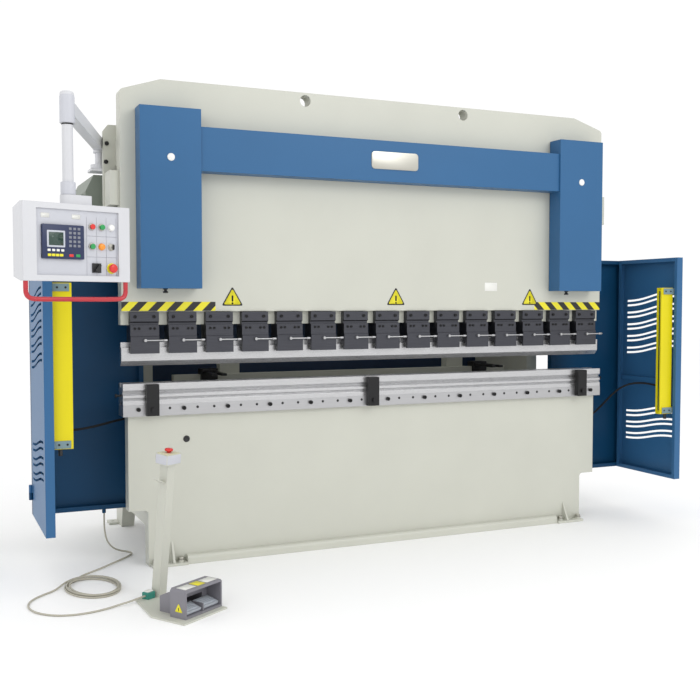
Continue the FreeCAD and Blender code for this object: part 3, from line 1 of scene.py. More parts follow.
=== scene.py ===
"""Looks of a hydraulic press brake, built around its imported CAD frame.

Metres. X runs along the bend line, Y from the operator to the rear, Z up."""
import json
import math
import bpy
import numpy as np
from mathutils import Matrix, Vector


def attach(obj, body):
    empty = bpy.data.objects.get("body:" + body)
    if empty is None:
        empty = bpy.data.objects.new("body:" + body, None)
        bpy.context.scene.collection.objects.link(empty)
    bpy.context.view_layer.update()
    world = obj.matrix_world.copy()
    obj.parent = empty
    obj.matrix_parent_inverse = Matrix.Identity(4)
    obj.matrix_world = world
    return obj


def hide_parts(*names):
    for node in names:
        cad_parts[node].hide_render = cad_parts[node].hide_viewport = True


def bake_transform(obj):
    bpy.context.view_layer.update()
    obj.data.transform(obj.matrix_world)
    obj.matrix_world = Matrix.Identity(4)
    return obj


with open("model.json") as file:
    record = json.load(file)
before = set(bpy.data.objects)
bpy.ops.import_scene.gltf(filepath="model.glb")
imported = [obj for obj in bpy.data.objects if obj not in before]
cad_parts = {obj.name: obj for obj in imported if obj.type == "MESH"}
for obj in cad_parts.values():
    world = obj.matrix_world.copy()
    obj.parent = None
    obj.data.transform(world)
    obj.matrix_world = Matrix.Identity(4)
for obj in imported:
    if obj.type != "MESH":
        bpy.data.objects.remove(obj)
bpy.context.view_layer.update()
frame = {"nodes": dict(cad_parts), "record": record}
NODES = frame["nodes"]

# ---------------------------------------------------------------- camera
CAMERA_PLACE = (-2.539, -5.200, 1.412)
CAMERA_YAW = 24.064
CAMERA_DOWN = 2.716
CAMERA_LENS = 50.05
SENSOR_WIDTH = 36
CAMERA_REACH = 60

camera = bpy.data.objects.new("camera", bpy.data.cameras.new("camera"))
bpy.context.scene.collection.objects.link(camera)
camera.data.lens = CAMERA_LENS
camera.data.sensor_width = SENSOR_WIDTH
camera.data.clip_end = CAMERA_REACH
camera.location = CAMERA_PLACE
camera.rotation_euler = (math.radians(90 - CAMERA_DOWN), 0, math.radians(-CAMERA_YAW))
bpy.context.scene.camera = camera


# ---------------------------------------------------------------- mesh helpers
def box_of(node):
    """Lowest and highest corner of a CAD node, to the micrometre."""
    mesh = NODES[node].data
    points = np.empty(3 * len(mesh.vertices), np.float32)
    mesh.vertices.foreach_get("co", points)
    points = points.reshape(-1, 3).astype(float)
    return points.min(0).round(6), points.max(0).round(6)


def add_mesh(name, verts, faces, smooth=True):
    """New mesh object from arrays of points and faces."""
    mesh = bpy.data.meshes.new(name)
    mesh.from_pydata([tuple(v) for v in np.asarray(verts, float)], [],
                     [tuple(int(i) for i in f) for f in faces])
    mesh.update()
    mesh.polygons.foreach_set("use_smooth", [smooth] * len(mesh.polygons))
    piece = bpy.data.objects.new(name, mesh)
    bpy.context.scene.collection.objects.link(piece)
    return piece


def grid_faces(rows, cols, wrap=True):
    """Quads joining each row or ring of points to the next."""
    r, c = np.meshgrid(np.arange(rows - 1), np.arange(cols if wrap else cols - 1),
                       indexing="ij")
    n = (c + 1) % cols
    quads = np.stack([r * cols + c, r * cols + n, (r + 1) * cols + n, (r + 1) * cols + c], -1)
    return quads.reshape(-1, 4).tolist()


def capped_rings(rings, sides):
    """Faces round a stack of rings, with one flat face closing each end."""
    return grid_faces(rings, sides) + [list(range(sides))[::-1],
                                       list(range((rings - 1) * sides, rings * sides))]


def joined(shapes):
    """One shape of points and faces from several."""
    points, faces, count = [], [], 0
    for shape_points, shape_faces in shapes:
        points.append(np.asarray(shape_points, float))
        faces += [[i + count for i in f] for f in shape_faces]
        count += len(shape_points)
    return np.concatenate(points), faces


def frame_of(axis):
    """Rotation whose third column is the axis and whose second leans up, or to the rear
    where the axis itself is upright."""
    w = np.array(axis, float)
    w /= np.linalg.norm(w)
    upright = abs(w[2]) > 0.99
    u = np.cross((0.0, 1.0, 0.0) if upright else (0.0, 0.0, 1.0), w)
    u /= np.linalg.norm(u)
    return np.stack([u, np.cross(w, u), w], 1)


def placed(shape, place, turn=None):
    """A shape turned and moved into the machine's frame."""
    points, faces = shape
    points = np.asarray(points, float)
    if turn is not None:
        points = points @ np.asarray(turn).T
    return points + np.asarray(place, float), faces


def lathe(profile, sides=40):
    """Surface of revolution: each (radius, height) of the profile becomes a ring at
    (r cos t, r sin t, h) for t round the circle. A flat face closes an end, or a fan
    of triangles to one point where the profile ends on the axis."""
    profile = np.asarray(profile, float)
    t = np.linspace(0, 2 * math.pi, sides, endpoint=False)
    pole = profile[-1, 0] == 0
    rings = profile[:-1] if pole else profile
    points = np.stack([rings[:, :1] * np.cos(t), rings[:, :1] * np.sin(t),
                       np.repeat(rings[:, 1:], sides, 1)], -1).reshape(-1, 3)
    faces = capped_rings(len(rings), sides)
    if pole:
        rim = np.array(faces.pop())
        fan = np.stack([rim, np.roll(rim, -1), np.full(sides, len(points))], 1)
        faces += fan.tolist()
        points = np.vstack([points, (0, 0, profile[-1, 1])])
    return points, faces


def rounded_rect(width, height, radius, steps=5):
    """Outline of a rectangle whose corners are quarter circles, anticlockwise."""
    a = np.linspace(0, math.pi / 2, steps + 1)
    corners = []
    for k, (sx, sy) in enumerate(((1, 1), (-1, 1), (-1, -1), (1, -1))):
        c = np.array((sx * (width / 2 - radius), sy * (height / 2 - radius)))
        b = a + k * math.pi / 2
        corners.append(c + radius * np.stack([np.cos(b), np.sin(b)], 1))
    return np.concatenate(corners)


def triangle(size, radius, steps=5):
    """Outline of a rounded triangle, point up: arcs of 120 degrees at three corners."""
    reach = size / math.sqrt(3) - 2 * radius
    middles = np.radians((90, 210, 330))
    centres = reach * np.stack([np.cos(middles), np.sin(middles)], 1)
    a = middles[:, None] + np.linspace(-math.pi / 3, math.pi / 3, steps + 1)
    arcs = radius * np.stack([np.cos(a), np.sin(a)], -1)
    return (centres[:, None] + arcs).reshape(-1, 2)


def hexagon(across):
    """Outline of a hexagon by its width across the flats, corners slightly blunt."""
    r = across / math.sqrt(3)
    angles = np.radians(np.arange(6) * 60)[:, None] + np.radians([-4, 4])
    return r * np.stack([np.cos(angles), np.sin(angles)], -1).reshape(-1, 2)


def pad(outline, thick, edge, steps=3):
    """Plate from a closed outline: the rim rises, then turns in over a quarter circle
    of the edge radius, offset along each point's own outward normal."""
    outline = np.asarray(outline, float)
    ahead = np.roll(outline, -1, 0) - outline
    behind = outline - np.roll(outline, 1, 0)
    ahead /= np.linalg.norm(ahead, axis=1, keepdims=True)
    behind /= np.linalg.norm(behind, axis=1, keepdims=True)
    along = ahead + behind
    along /= np.linalg.norm(along, axis=1, keepdims=True)
    normal = np.stack([along[:, 1], -along[:, 0]], 1)
    a = np.linspace(0, math.pi / 2, steps + 1)
    levels = [(0.0, 0.0)] + [(edge * (1 - math.cos(x)), thick - edge + edge * math.sin(x))
                             for x in a]
    rings = [np.column_stack([outline - normal * inset, np.full(len(outline), z)])
             for inset, z in levels]
    return np.concatenate(rings), capped_rings(len(rings), len(outline))


def plate(width, height, radius, thick, edge):
    """Rectangular plate with rounded corners and a rounded front edge."""
    return pad(rounded_rect(width, height, radius), thick, edge)


def sweep(path, radius, sides=12):
    """Tube: a circle of the radius carried along the path, square to it at each point."""
    path = np.asarray(path, float)
    along = np.gradient(path, axis=0)
    along /= np.linalg.norm(along, axis=1, keepdims=True)
    u = np.cross(along, (0.0, 0.0, 1.0))
    u[np.linalg.norm(u, axis=1) < 1e-3] = (1.0, 0.0, 0.0)
    u /= np.linalg.norm(u, axis=1, keepdims=True)
    v = np.cross(along, u)
    t = np.linspace(0, 2 * math.pi, sides, endpoint=False)
    rings = (path[:, None] + radius * (np.cos(t)[:, None] * u[:, None]
                                       + np.sin(t)[:, None] * v[:, None]))
    return rings.reshape(-1, 3), capped_rings(len(path), sides)


def block(size, edge, steps=3):
    """Block with round edges and corners: the rays of a cube's surface grid, each of
    the edge radius, stand on the nearest corner of the inner box."""
    inner = np.asarray(size, float) / 2 - edge
    line = np.tan(np.linspace(-math.pi / 4, math.pi / 4, 2 * steps + 1))
    line = np.concatenate([line[:steps + 1], line[steps:]])
    side = np.repeat((-1.0, 1.0), steps + 1)
    quads = grid_faces(len(line), len(line), wrap=False)
    patches = []
    for axis in range(3):
        for sign in (-1, 1):
            order = [axis, (axis + 1) % 3, (axis + 2) % 3]
            ray = np.empty((len(line), len(line), 3))
            corner = np.empty_like(ray)
            for target, values in ((ray, line), (corner, side)):
                across, up = np.meshgrid(values, values, indexing="ij")
                target[..., order] = np.stack([np.full_like(across, sign), across, up], -1)
            ray /= np.linalg.norm(ray, axis=-1, keepdims=True)
            points = (corner * inner + ray * edge).reshape(-1, 3)
            patches.append((points, quads if sign < 0 else [q[::-1] for q in quads]))
    points, faces = joined(patches)
    _, first, same = np.unique(points.round(7), axis=0, return_index=True,
                               return_inverse=True)
    return points[first], same.reshape(-1)[np.array(faces)].tolist()


# ---------------------------------------------------------------- material helpers
COAT_SPAN = 0.12
GRIND_SPAN = 0.2
GRAIN_DEPTH = 0.0006
BAR_SHARE = 0.5
STRIPE_PITCH = 0.098
STRIPE_SHIFT = 0.0565
STRIPE_X = (1.041, 1.551)
STRIPE_Z = (1.374, 1.423)
RAM_FRONT = box_of("ram_beam")[0][1]


def mix_colour(nodes, links, factor, first, second):
    """Colour mix node fed by a factor socket and two colours or sockets."""
    mix = nodes.new("ShaderNodeMix")
    mix.data_type = "RGBA"
    links.new(factor, mix.inputs["Factor"])
    for socket, value in ((mix.inputs["A"], first), (mix.inputs["B"], second)):
        if isinstance(value, bpy.types.NodeSocket):
            links.new(value, socket)
        else:
            socket.default_value = (*value, 1)
    return mix.outputs["Result"]


def maths_node(nodes, links, operation, *values):
    """Maths node on sockets or numbers."""
    maths = nodes.new("ShaderNodeMath")
    maths.operation = operation
    for socket, value in zip(maths.inputs, values):
        if isinstance(value, bpy.types.NodeSocket):
            links.new(value, socket)
        else:
            socket.default_value = value
    return maths.outputs[0]


def new_group(name, inputs, outputs):
    """Node group that holds only its sockets: inputs of (name, kind, value) and outputs
    of (name, kind)."""
    group = bpy.data.node_groups.new(name, "ShaderNodeTree")
    for key, kind, value in inputs:
        socket = group.interface.new_socket(key, in_out="INPUT", socket_type=kind)
        socket.default_value = value
    for key, kind in outputs:
        group.interface.new_socket(key, in_out="OUTPUT", socket_type=kind)
    enter = group.nodes.new("NodeGroupInput")
    leave = group.nodes.new("NodeGroupOutput")
    return group, enter, leave


def coat_group():
    """Texture shared by all coats: slow colour drift, fine grain and softened edges."""
    group, enter, leave = new_group(
        "coat_texture",
        [("Grain", "NodeSocketFloat", 900.0), ("Height", "NodeSocketFloat", 0.1),
         ("Edge", "NodeSocketFloat", 0.002)],
        [("Drift", "NodeSocketFloat"), ("Fine", "NodeSocketFloat"),
         ("Normal", "NodeSocketVector")])
    nodes, links = group.nodes, group.links
    place = nodes.new("ShaderNodeTexCoord")
    slow = nodes.new("ShaderNodeTexNoise")
    slow.inputs["Scale"].default_value = 2.6
    slow.inputs["Detail"].default_value = 5
    fine = nodes.new("ShaderNodeTexNoise")
    fine.inputs["Detail"].default_value = 2
    links.new(place.outputs["Object"], slow.inputs["Vector"])
    links.new(place.outputs["Object"], fine.inputs["Vector"])
    links.new(enter.outputs["Grain"], fine.inputs["Scale"])
    edge = nodes.new("ShaderNodeBevel")
    edge.samples = 4
    links.new(enter.outputs["Edge"], edge.inputs["Radius"])
    bump = nodes.new("ShaderNodeBump")
    bump.inputs["Distance"].default_value = GRAIN_DEPTH
    links.new(enter.outputs["Height"], bump.inputs["Strength"])
    links.new(fine.outputs["Fac"], bump.inputs["Height"])
    links.new(edge.outputs["Normal"], bump.inputs["Normal"])
    links.new(slow.outputs["Fac"], leave.inputs["Drift"])
    links.new(fine.outputs["Fac"], leave.inputs["Fine"])
    links.new(bump.outputs["Normal"], leave.inputs["Normal"])
    return group


COAT = coat_group()


def new_material(name):
    """Material with a fresh tree: returns it with its nodes, links and shader."""
    material = bpy.data.materials.new(name)
    material.use_nodes = True
    nodes, links = material.node_tree.nodes, material.node_tree.links
    shader = nodes.get("Principled BSDF")
    return material, nodes, links, shader


def coat_node(nodes, grain, height, edge):
    """The coat texture placed in a material: grain scale, its height and edge radius."""
    coat = nodes.new("ShaderNodeGroup")
    coat.node_tree = COAT
    coat.inputs["Grain"].default_value = grain
    coat.inputs["Height"].default_value = height
    coat.inputs["Edge"].default_value = edge
    return coat


def coated(name, colour, rough, grain=900.0, height=0.1, edge=0.002, metal=0.0,
           drift=0.06, clear=0.0, gloss=0.5):
    """Painted, moulded or metal finish over the shared coat texture."""
    material, nodes, links, shader = new_material(name)
    coat = coat_node(nodes, grain, height, edge)
    shader.inputs["Base Color"].default_value = (*colour, 1)
    if drift:
        darker = tuple(c * (1 - drift) for c in colour)
        lighter = tuple(min(1, c * (1 + drift)) for c in colour)
        tint = mix_colour(nodes, links, coat.outputs["Drift"], darker, lighter)
        tint.node.name = "tint"
        links.new(tint, shader.inputs["Base Color"])
    rub = maths_node(nodes, links, "MULTIPLY_ADD", coat.outputs["Fine"], COAT_SPAN,
                     rough - COAT_SPAN / 2)
    links.new(rub, shader.inputs["Roughness"])
    shader.inputs["Metallic"].default_value = metal
    shader.inputs["Specular IOR Level"].default_value = gloss
    shader.inputs["Coat Weight"].default_value = clear
    shader.inputs["Coat Roughness"].default_value = 0.15
    links.new(coat.outputs["Normal"], shader.inputs["Normal"])
    return material


def ground_steel(name, colour, rough, darken=0.25):
    """Machined steel: grinding lines stretched along the bend line."""
    material, nodes, links, shader = new_material(name)
    place = nodes.new("ShaderNodeTexCoord")
    stretch = nodes.new("ShaderNodeMapping")
    stretch.inputs["Scale"].default_value = (1.0, 60.0, 60.0)
    lines = nodes.new("ShaderNodeTexNoise")
    lines.inputs["Scale"].default_value = 14
    lines.inputs["Detail"].default_value = 6
    links.new(place.outputs["Object"], stretch.inputs["Vector"])
    links.new(stretch.outputs["Vector"], lines.inputs["Vector"])
    coat = coat_node(nodes, 300, 0.04, 0.0015)
    dark = tuple(c * (1 - darken) for c in colour)
    links.new(mix_colour(nodes, links, lines.outputs["Fac"], dark, colour),
              shader.inputs["Base Color"])
    rub = maths_node(nodes, links, "MULTIPLY_ADD", lines.outputs["Fac"], GRIND_SPAN,
                     rough - GRIND_SPAN / 2)
    links.new(rub, shader.inputs["Roughness"])
    shader.inputs["Metallic"].default_value = 0.9
    links.new(coat.outputs["Normal"], shader.inputs["Normal"])
    return material


def stripe_mask(nodes, links):
    """1 on the leaning black bars of the two warning bands on the ram's face."""
    place = nodes.new("ShaderNodeTexCoord")
    part = nodes.new("ShaderNodeSeparateXYZ")
    links.new(place.outputs["Object"], part.inputs["Vector"])
    x, y, z = part.outputs
    side = maths_node(nodes, links, "ABSOLUTE", x)
    lean = maths_node(nodes, links, "ADD", side, z)
    lean = maths_node(nodes, links, "ADD", lean, STRIPE_SHIFT)
    lean = maths_node(nodes, links, "DIVIDE", lean, STRIPE_PITCH)
    wave = maths_node(nodes, links, "FRACT", lean)
    bars = maths_node(nodes, links, "GREATER_THAN", wave, BAR_SHARE)
    inside = maths_node(nodes, links, "LESS_THAN", y, RAM_FRONT + 0.001)
    for value, (low, high) in ((side, STRIPE_X), (z, STRIPE_Z)):
        for operation, limit in (("GREATER_THAN", low), ("LESS_THAN", high)):
            test = maths_node(nodes, links, operation, value, limit)
            inside = maths_node(nodes, links, "MULTIPLY", inside, test)
    return inside, bars


CREAM_COLOUR = (0.54, 0.545, 0.48)
BLUE_COLOUR = (0.030, 0.118, 0.262)
BLACK = (0.012, 0.012, 0.013)
YELLOW = (0.78, 0.70, 0.02)

cream = coated("cream_paint", CREAM_COLOUR, 0.42, grain=700, height=0.12)
blue = coated("blue_paint", BLUE_COLOUR, 0.40, grain=700, height=0.12, gloss=0.3)
dark_blue = coated("dark_blue_paint", (0.010, 0.035, 0.10), 0.5)
# Much darker blue for the guard panels: painted shade that stands in for the shadow inside the
# guards, the same on their outsides
shadow_painted_blue = coated("shadow_painted_blue_paint", (0.004, 0.050, 0.125), 0.42, grain=700, height=0.12,
                    gloss=0.22)
steel = ground_steel("ground_steel", (0.52, 0.52, 0.53), 0.36)
tool_steel = ground_steel("tool_steel", (0.62, 0.62, 0.63), 0.28)
black_steel = coated("blackened_steel", (0.02, 0.02, 0.021), 0.42, metal=0.6, height=0.06)
clamp_metal = ground_steel("clamp_steel", (0.095, 0.097, 0.112), 0.42, darken=0.55)
chrome = coated("chromed_rod", (0.75, 0.75, 0.77), 0.14, metal=1.0, height=0.01, drift=0.02)
pipe = coated("drawn_pipe", (0.45, 0.45, 0.46), 0.3, metal=1.0, height=0.03)
motor_paint = coated("motor_paint", (0.07, 0.10, 0.14), 0.45)
dark_paint = coated("cylinder_paint", (0.05, 0.05, 0.055), 0.45)
grey_green = coated("cabinet_paint", (0.20, 0.23, 0.19), 0.5, grain=500, height=0.2)
pendant_paint = coated("pendant_paint", (0.60, 0.605, 0.63), 0.38, grain=1200, height=0.05)
panel_paint = coated("panel_paint", (0.52, 0.53, 0.575), 0.42, grain=1200, height=0.05)
curtain_paint = coated("curtain_paint", (0.70, 0.60, 0.004), 0.34, height=0.04, gloss=0.3)
housing_paint = coated("housing_paint", (0.205, 0.20, 0.225), 0.5, grain=450, height=0.35)
red_paint = coated("red_handle_paint", (0.46, 0.012, 0.024), 0.3, height=0.03, clear=0.4)
red_plastic = coated("red_plastic", (0.65, 0.02, 0.015), 0.3, height=0.02, clear=0.3)
green_plastic = coated("green_plastic", (0.01, 0.30, 0.07), 0.3, height=0.02, clear=0.3)
white_plastic = coated("white_plastic", (0.80, 0.80, 0.78), 0.35, height=0.02)
orange_plastic = coated("orange_plastic", (0.85, 0.28, 0.02), 0.3, height=0.02, clear=0.3)
black_plastic = coated("black_plastic", BLACK, 0.4, height=0.05)
connector_plastic = coated("connector_plastic", (0.02, 0.22, 0.17), 0.4, height=0.05)
rubber = coated("black_rubber", (0.006, 0.006, 0.007), 0.55, grain=1500, height=0.08,
                gloss=0.25)
pedal_metal = coated("pedal_metal", (0.55, 0.59, 0.64), 0.4, metal=0.3, height=0.1)
blue_grey = coated("bracket_paint", (0.16, 0.24, 0.26), 0.45)
label_white = coated("label_white", (0.78, 0.78, 0.74), 0.5, height=0.0, drift=0.02)
label_yellow = coated("label_yellow", YELLOW, 0.45, height=0.0, drift=0.02)
screen_bezel = coated("screen_bezel", (0.50, 0.52, 0.58), 0.4, height=0.0)
lid_paint = coated("lid_paint", (0.62, 0.61, 0.42), 0.45, height=0.0, drift=0.02)
label_black = coated("label_black", BLACK, 0.5, height=0.0, drift=0.0)
grey_keys = coated("grey_keys", (0.20, 0.21, 0.25), 0.4, height=0.0)
line_grey = coated("line_grey", (0.36, 0.37, 0.41), 0.5, height=0.0)
navy_plastic = coated("controller_plastic", (0.012, 0.022, 0.075), 0.36, height=0.03)
screen_glass = coated("screen_glass", (0.015, 0.05, 0.035), 0.12, height=0.0, clear=0.6)
beige_sheath = coated("beige_sheath", (0.42, 0.40, 0.33), 0.5, grain=1500, height=0.06)
zinc = coated("zinc_plate", (0.48, 0.47, 0.42), 0.32, metal=0.9, height=0.04)


def striped_cream():
    """Cream coat with the two warning bands worked out from place."""
    material = coated("ram_paint", CREAM_COLOUR, 0.42, grain=700, height=0.12)
    nodes, links = material.node_tree.nodes, material.node_tree.links
    shader = nodes.get("Principled BSDF")
    inside, bars = stripe_mask(nodes, links)
    base = nodes["tint"].outputs["Result"]
    band = mix_colour(nodes, links, bars, YELLOW, BLACK)
    links.new(mix_colour(nodes, links, inside, base, band), shader.inputs["Base Color"])
    return material


ram_paint = striped_cream()

FINISHES = {
    "cream": cream, "blue": blue, "dark_blue": dark_blue, "motor_grey": motor_paint,
    "pipe_steel": pipe, "dark_steel": dark_paint, "machined_steel": steel,
    "black_oxide": black_steel, "grey_green": grey_green, "pendant_grey": pendant_paint,
    "cord_beige": beige_sheath, "housing_grey": housing_paint,
    "connector_green": connector_plastic, "cord_black": rubber, "chrome_rod": chrome,
    "clamp_dark": clamp_metal, "curtain_yellow": curtain_paint, "panel_grey": panel_paint,
    "handle_red": red_paint, "button_red": red_plastic, "button_green": green_plastic,
    "knob_black": black_plastic, "pedal_grey": pedal_metal}
# The guard panels take the darker blue with the painted shade in it
NODE_FINISH = {"ram_beam": ram_paint, "punch": tool_steel, "vee_die": tool_steel,
               "guard_panel_left": shadow_painted_blue, "guard_panel_right": shadow_painted_blue,
               "ram_guides": cream}


def paint(piece, material):
    """Give a piece its material, in place of whatever it had."""
    piece.data.materials.clear()
    piece.data.materials.append(material)
    return piece


for row in frame["record"]["subparts"]:
    paint(NODES[row["node"]], NODE_FINISH.get(row["node"], FINISHES[row["material_slot"]]))


# ---------------------------------------------------------------- cords
CORD_RADIUS = 0.0045
CORD_DROP = [(-1.600, 0.262, 0.250), (-1.600, 0.262, 0.205), (-1.599, 0.256, 0.150),
             (-1.588, 0.262, 0.095), (-1.556, 0.283, 0.046), (-1.508, 0.312, 0.016),
             (-1.462, 0.318, 0.0048), (-1.442, 0.278, 0.0048), (-1.465, 0.228, 0.0048),
             (-1.520, 0.165, 0.0048), (-1.585, 0.098, 0.0048), (-1.650, 0.030, 0.0048),
             (-1.712, -0.028, 0.0048), (-1.772, -0.078, 0.0048)]
CORD_LOOP = [(-1.932, -0.292, 0.0048), (-1.988, -0.340, 0.0048), (-2.042, -0.392, 0.0048),
             (-2.080, -0.460, 0.0048), (-2.088, -0.545, 0.0048), (-2.058, -0.632, 0.0048),
             (-1.995, -0.698, 0.0048), (-1.912, -0.726, 0.0048), (-1.826, -0.718, 0.0048),
             (-1.752, -0.692, 0.0048), (-1.698, -0.668, 0.008), (-1.650, -0.670, 0.017),
             (-1.6030, -0.6556, 0.024), (-1.5661, -0.6317, 0.024)]
COIL_CENTRE = (-1.757, -0.322)
COIL_AXES = (0.1395, 0.1940)
COIL_TILT = math.radians(7)
COIL_PITCH = 0.0125
COIL_START = 104
COIL_TURNS = 2.0
COIL_END = 1590
COIL_STEP = 36
COIL_FLOOR = 0.0048
COIL_RISE = 0.0102
COIL_WANDER = (0.003, 0.004)


def coil_points():
    """Loose turns: an ellipse whose axes shrink by one pitch a turn on the floor, climbs
    on to itself, then grows again by one pitch a turn on top; its centre wanders."""
    points = []
    for degrees in range(COIL_START, COIL_END + 1, COIL_STEP):
        turns = (degrees - COIL_START) / 360
        angle = math.radians(degrees)
        inward = min(turns, COIL_TURNS) - max(0.0, turns - COIL_TURNS)
        climb = min(1.0, max(0.0, (turns - COIL_TURNS + 0.1) / 0.2))
        a, b = (axis - COIL_PITCH * inward for axis in COIL_AXES)
        x = a * math.cos(angle) + COIL_WANDER[0] * climb * math.sin(1.7 * angle)
        y = b * math.sin(angle) + COIL_WANDER[1] * climb * math.cos(1.3 * angle)
        points.append((COIL_CENTRE[0] + x * math.cos(COIL_TILT) - y * math.sin(COIL_TILT),
                       COIL_CENTRE[1] + x * math.sin(COIL_TILT) + y * math.cos(COIL_TILT),
                       COIL_FLOOR + COIL_RISE * climb))
    return points


def cord_curve(name, points, radius, material):
    """Smooth round cord: one open quadratic spline with the route's points as its
    controls, which rounds each corner from one run's middle to the next."""
    data = bpy.data.curves.new(name, "CURVE")
    data.dimensions = "3D"
    data.resolution_u = 12
    data.bevel_depth = radius
    data.bevel_resolution = 4
    data.use_fill_caps = True
    spline = data.splines.new("NURBS")
    spline.points.add(len(points) - 1)
    spline.points.foreach_set("co", [c for p in points for c in (*p, 1)])
    spline.order_u = 3
    spline.use_endpoint_u = True
    piece = bpy.data.objects.new(name, data)
    bpy.context.scene.collection.objects.link(piece)
    piece.data.materials.append(material)
    return piece


def centre_line(points):
    """Points along the smooth line of a route, read from its spline."""
    line = cord_curve("line_for_tube", points, 0, rubber)
    bpy.context.view_layer.update()
    mesh = bpy.data.meshes.new_from_object(line)
    path = np.array([v.co for v in mesh.vertices])
    bpy.data.meshes.remove(mesh)
    bpy.data.objects.remove(line)
    return path


foot_cord = cord_curve("foot_cord", CORD_DROP + coil_points() + CORD_LOOP, CORD_RADIUS,
                       beige_sheath)
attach(foot_cord, "frame")
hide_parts("foot_cord_drop", "foot_cord_coil", "foot_cord_loop")

CABLE_RADIUS = 0.0065
LEFT_CABLE = [(-1.910, -0.258, 0.803), (-1.910, -0.205, 0.803), (-1.893, -0.140, 0.782),
              (-1.850, -0.075, 0.765), (-1.790, -0.018, 0.757), (-1.715, 0.032, 0.758),
              (-1.635, 0.072, 0.768), (-1.555, 0.100, 0.782), (-1.480, 0.118, 0.793),
              (-1.420, 0.122, 0.795), (-1.370, 0.122, 0.795)]
RIGHT_CABLE = [(1.910, -0.258, 0.873), (1.910, -0.205, 0.873), (1.896, -0.148, 0.882),
               (1.858, -0.092, 0.888), (1.812, -0.044, 0.880), (1.766, 0.002, 0.850),
               (1.724, 0.044, 0.796), (1.688, 0.080, 0.736), (1.648, 0.112, 0.682),
               (1.598, 0.136, 0.638), (1.538, 0.148, 0.612), (1.470, 0.150, 0.602),
               (1.370, 0.150, 0.602)]
for side, route, length in (("left", LEFT_CABLE, 0.735), ("right", RIGHT_CABLE, 0.850)):
    path = centre_line(route)
    cable = add_mesh("curtain_cable_%s_sheath" % side, *sweep(path, CABLE_RADIUS))
    paint(cable, rubber)
    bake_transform(cable)
    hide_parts("curtain_cable_%s" % side)


# ---------------------------------------------------------------- dressing
def dress(piece, body, material, slot=None, stands_for=()):
    """Give a finished piece its material, its body and the CAD nodes it stands for."""
    paint(piece, material)
    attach(piece, body)
    if stands_for:
        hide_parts(*stands_for)
    return piece


def fitted(name, shape, spot, turn, body, material, **more):
    """One piece: a shape turned and set at its spot."""
    return dress(add_mesh(name, *placed(shape, spot, turn)), body, material, **more)


def repeated(name, shape, spots, turn, body, material, **more):
    """One piece from the same shape at several spots."""
    copies = joined([placed(shape, spot, turn) for spot in spots])
    return dress(add_mesh(name, *copies), body, material, **more)


# ---------------------------------------------------------------- pendant details
CASE_TURN = math.radians(19.8)
PENDANT_AXIS = (-1.9120, -0.7451)
ALONG = np.array((math.cos(CASE_TURN), math.sin(CASE_TURN), 0.0))
BEHIND = np.array((-math.sin(CASE_TURN), math.cos(CASE_TURN), 0.0))
PANEL_FACE = -0.058
PANEL_TURN = frame_of(-BEHIND)
COLUMN = (0.080, 0.128, 0.176)
ROW = (1.753, 1.666, 1.571)
STEM = (0.009, -0.011)
SKIN = 0.0001


def on_panel(along, height, out=0.0):
    """Place in front of the control panel's face."""
    return np.array((*PENDANT_AXIS, height)) + ALONG * along + BEHIND * (PANEL_FACE - out)


# Each profile is (radius, height above the panel's face), from the stem outwards
BUTTON_CAP = [STEM, (0.009, 0.009), (0.012, 0.009), (0.012, 0.0135), (0.0116, 0.0150),
              (0.0102, 0.0157), (0.006, 0.0154), (0.0, 0.0150)]
MUSHROOM = [STEM, (0.009, 0.0106), (0.0125, 0.0106), (0.0130, 0.0140), (0.0185, 0.0148),
            (0.0200, 0.0170), (0.0200, 0.0215), (0.0185, 0.0250), (0.0150, 0.0272),
            (0.0080, 0.0285), (0.0, 0.0288)]
STOP_RING = [(0.0240, 0.0005), (0.0240, 0.0030), (0.0235, 0.0036), (0.0096, 0.0036),
             (0.0096, 0.0030)]
BEZEL = [(0.0164, 0.0005), (0.0160, 0.0030), (0.0135, 0.0046), (0.0098, 0.0046),
         (0.0096, 0.0029)]
LAMP_DOME = [(0.0160, 0.0002), (0.0155, 0.0040), (0.0142, 0.0050), (0.0142, 0.0100),
             (0.0130, 0.0122), (0.0080, 0.0138), (0.0, 0.0142)]
KEY_BARREL = [STEM, (0.009, 0.0033), (0.0120, 0.0033), (0.0120, 0.0080), (0.0112, 0.0092),
              (0.0, 0.0092)]

for name, column, row, material in (("red_button", 0, 0, red_plastic),
                                    ("green_button", 1, 0, green_plastic),
                                    ("lower_green_button", 0, 1, green_plastic)):
    fitted(name + "_cap", lathe(BUTTON_CAP), on_panel(COLUMN[column], ROW[row]), PANEL_TURN,
           name + "_part", material, stands_for=[name])
STOP_SPOT = on_panel(COLUMN[2], ROW[2])
fitted("estop_head", lathe(MUSHROOM), STOP_SPOT, PANEL_TURN, "estop_button_part", red_plastic,
       stands_for=["estop_button"])
fitted("estop_ring", lathe(STOP_RING), STOP_SPOT, PANEL_TURN, "pendant", label_yellow)
BEZEL_SPOTS = [on_panel(COLUMN[column], ROW[row])
               for column, row in ((0, 0), (1, 0), (0, 1), (2, 1))]
repeated("button_bezels", lathe(BEZEL), BEZEL_SPOTS, PANEL_TURN, "pendant", zinc)
fitted("white_lamp", lathe(LAMP_DOME), on_panel(COLUMN[2], ROW[0]), PANEL_TURN, "pendant",
       white_plastic)
fitted("orange_lamp", lathe(LAMP_DOME), on_panel(COLUMN[1], ROW[1]), PANEL_TURN, "pendant",
       orange_plastic)
KEY_REACH = 0.021
BOW_HALF = 0.001
fitted("key_barrel", lathe(KEY_BARREL), on_panel(COLUMN[2], ROW[1]), PANEL_TURN,
       "key_switch_part", zinc)
fitted("key_bow", plate(0.018, 0.024, 0.006, 2 * BOW_HALF, 0.0005),
       on_panel(COLUMN[2], ROW[1], KEY_REACH) - ALONG * BOW_HALF, frame_of(ALONG),
       "key_switch_part", black_plastic, stands_for=["key_switch"])

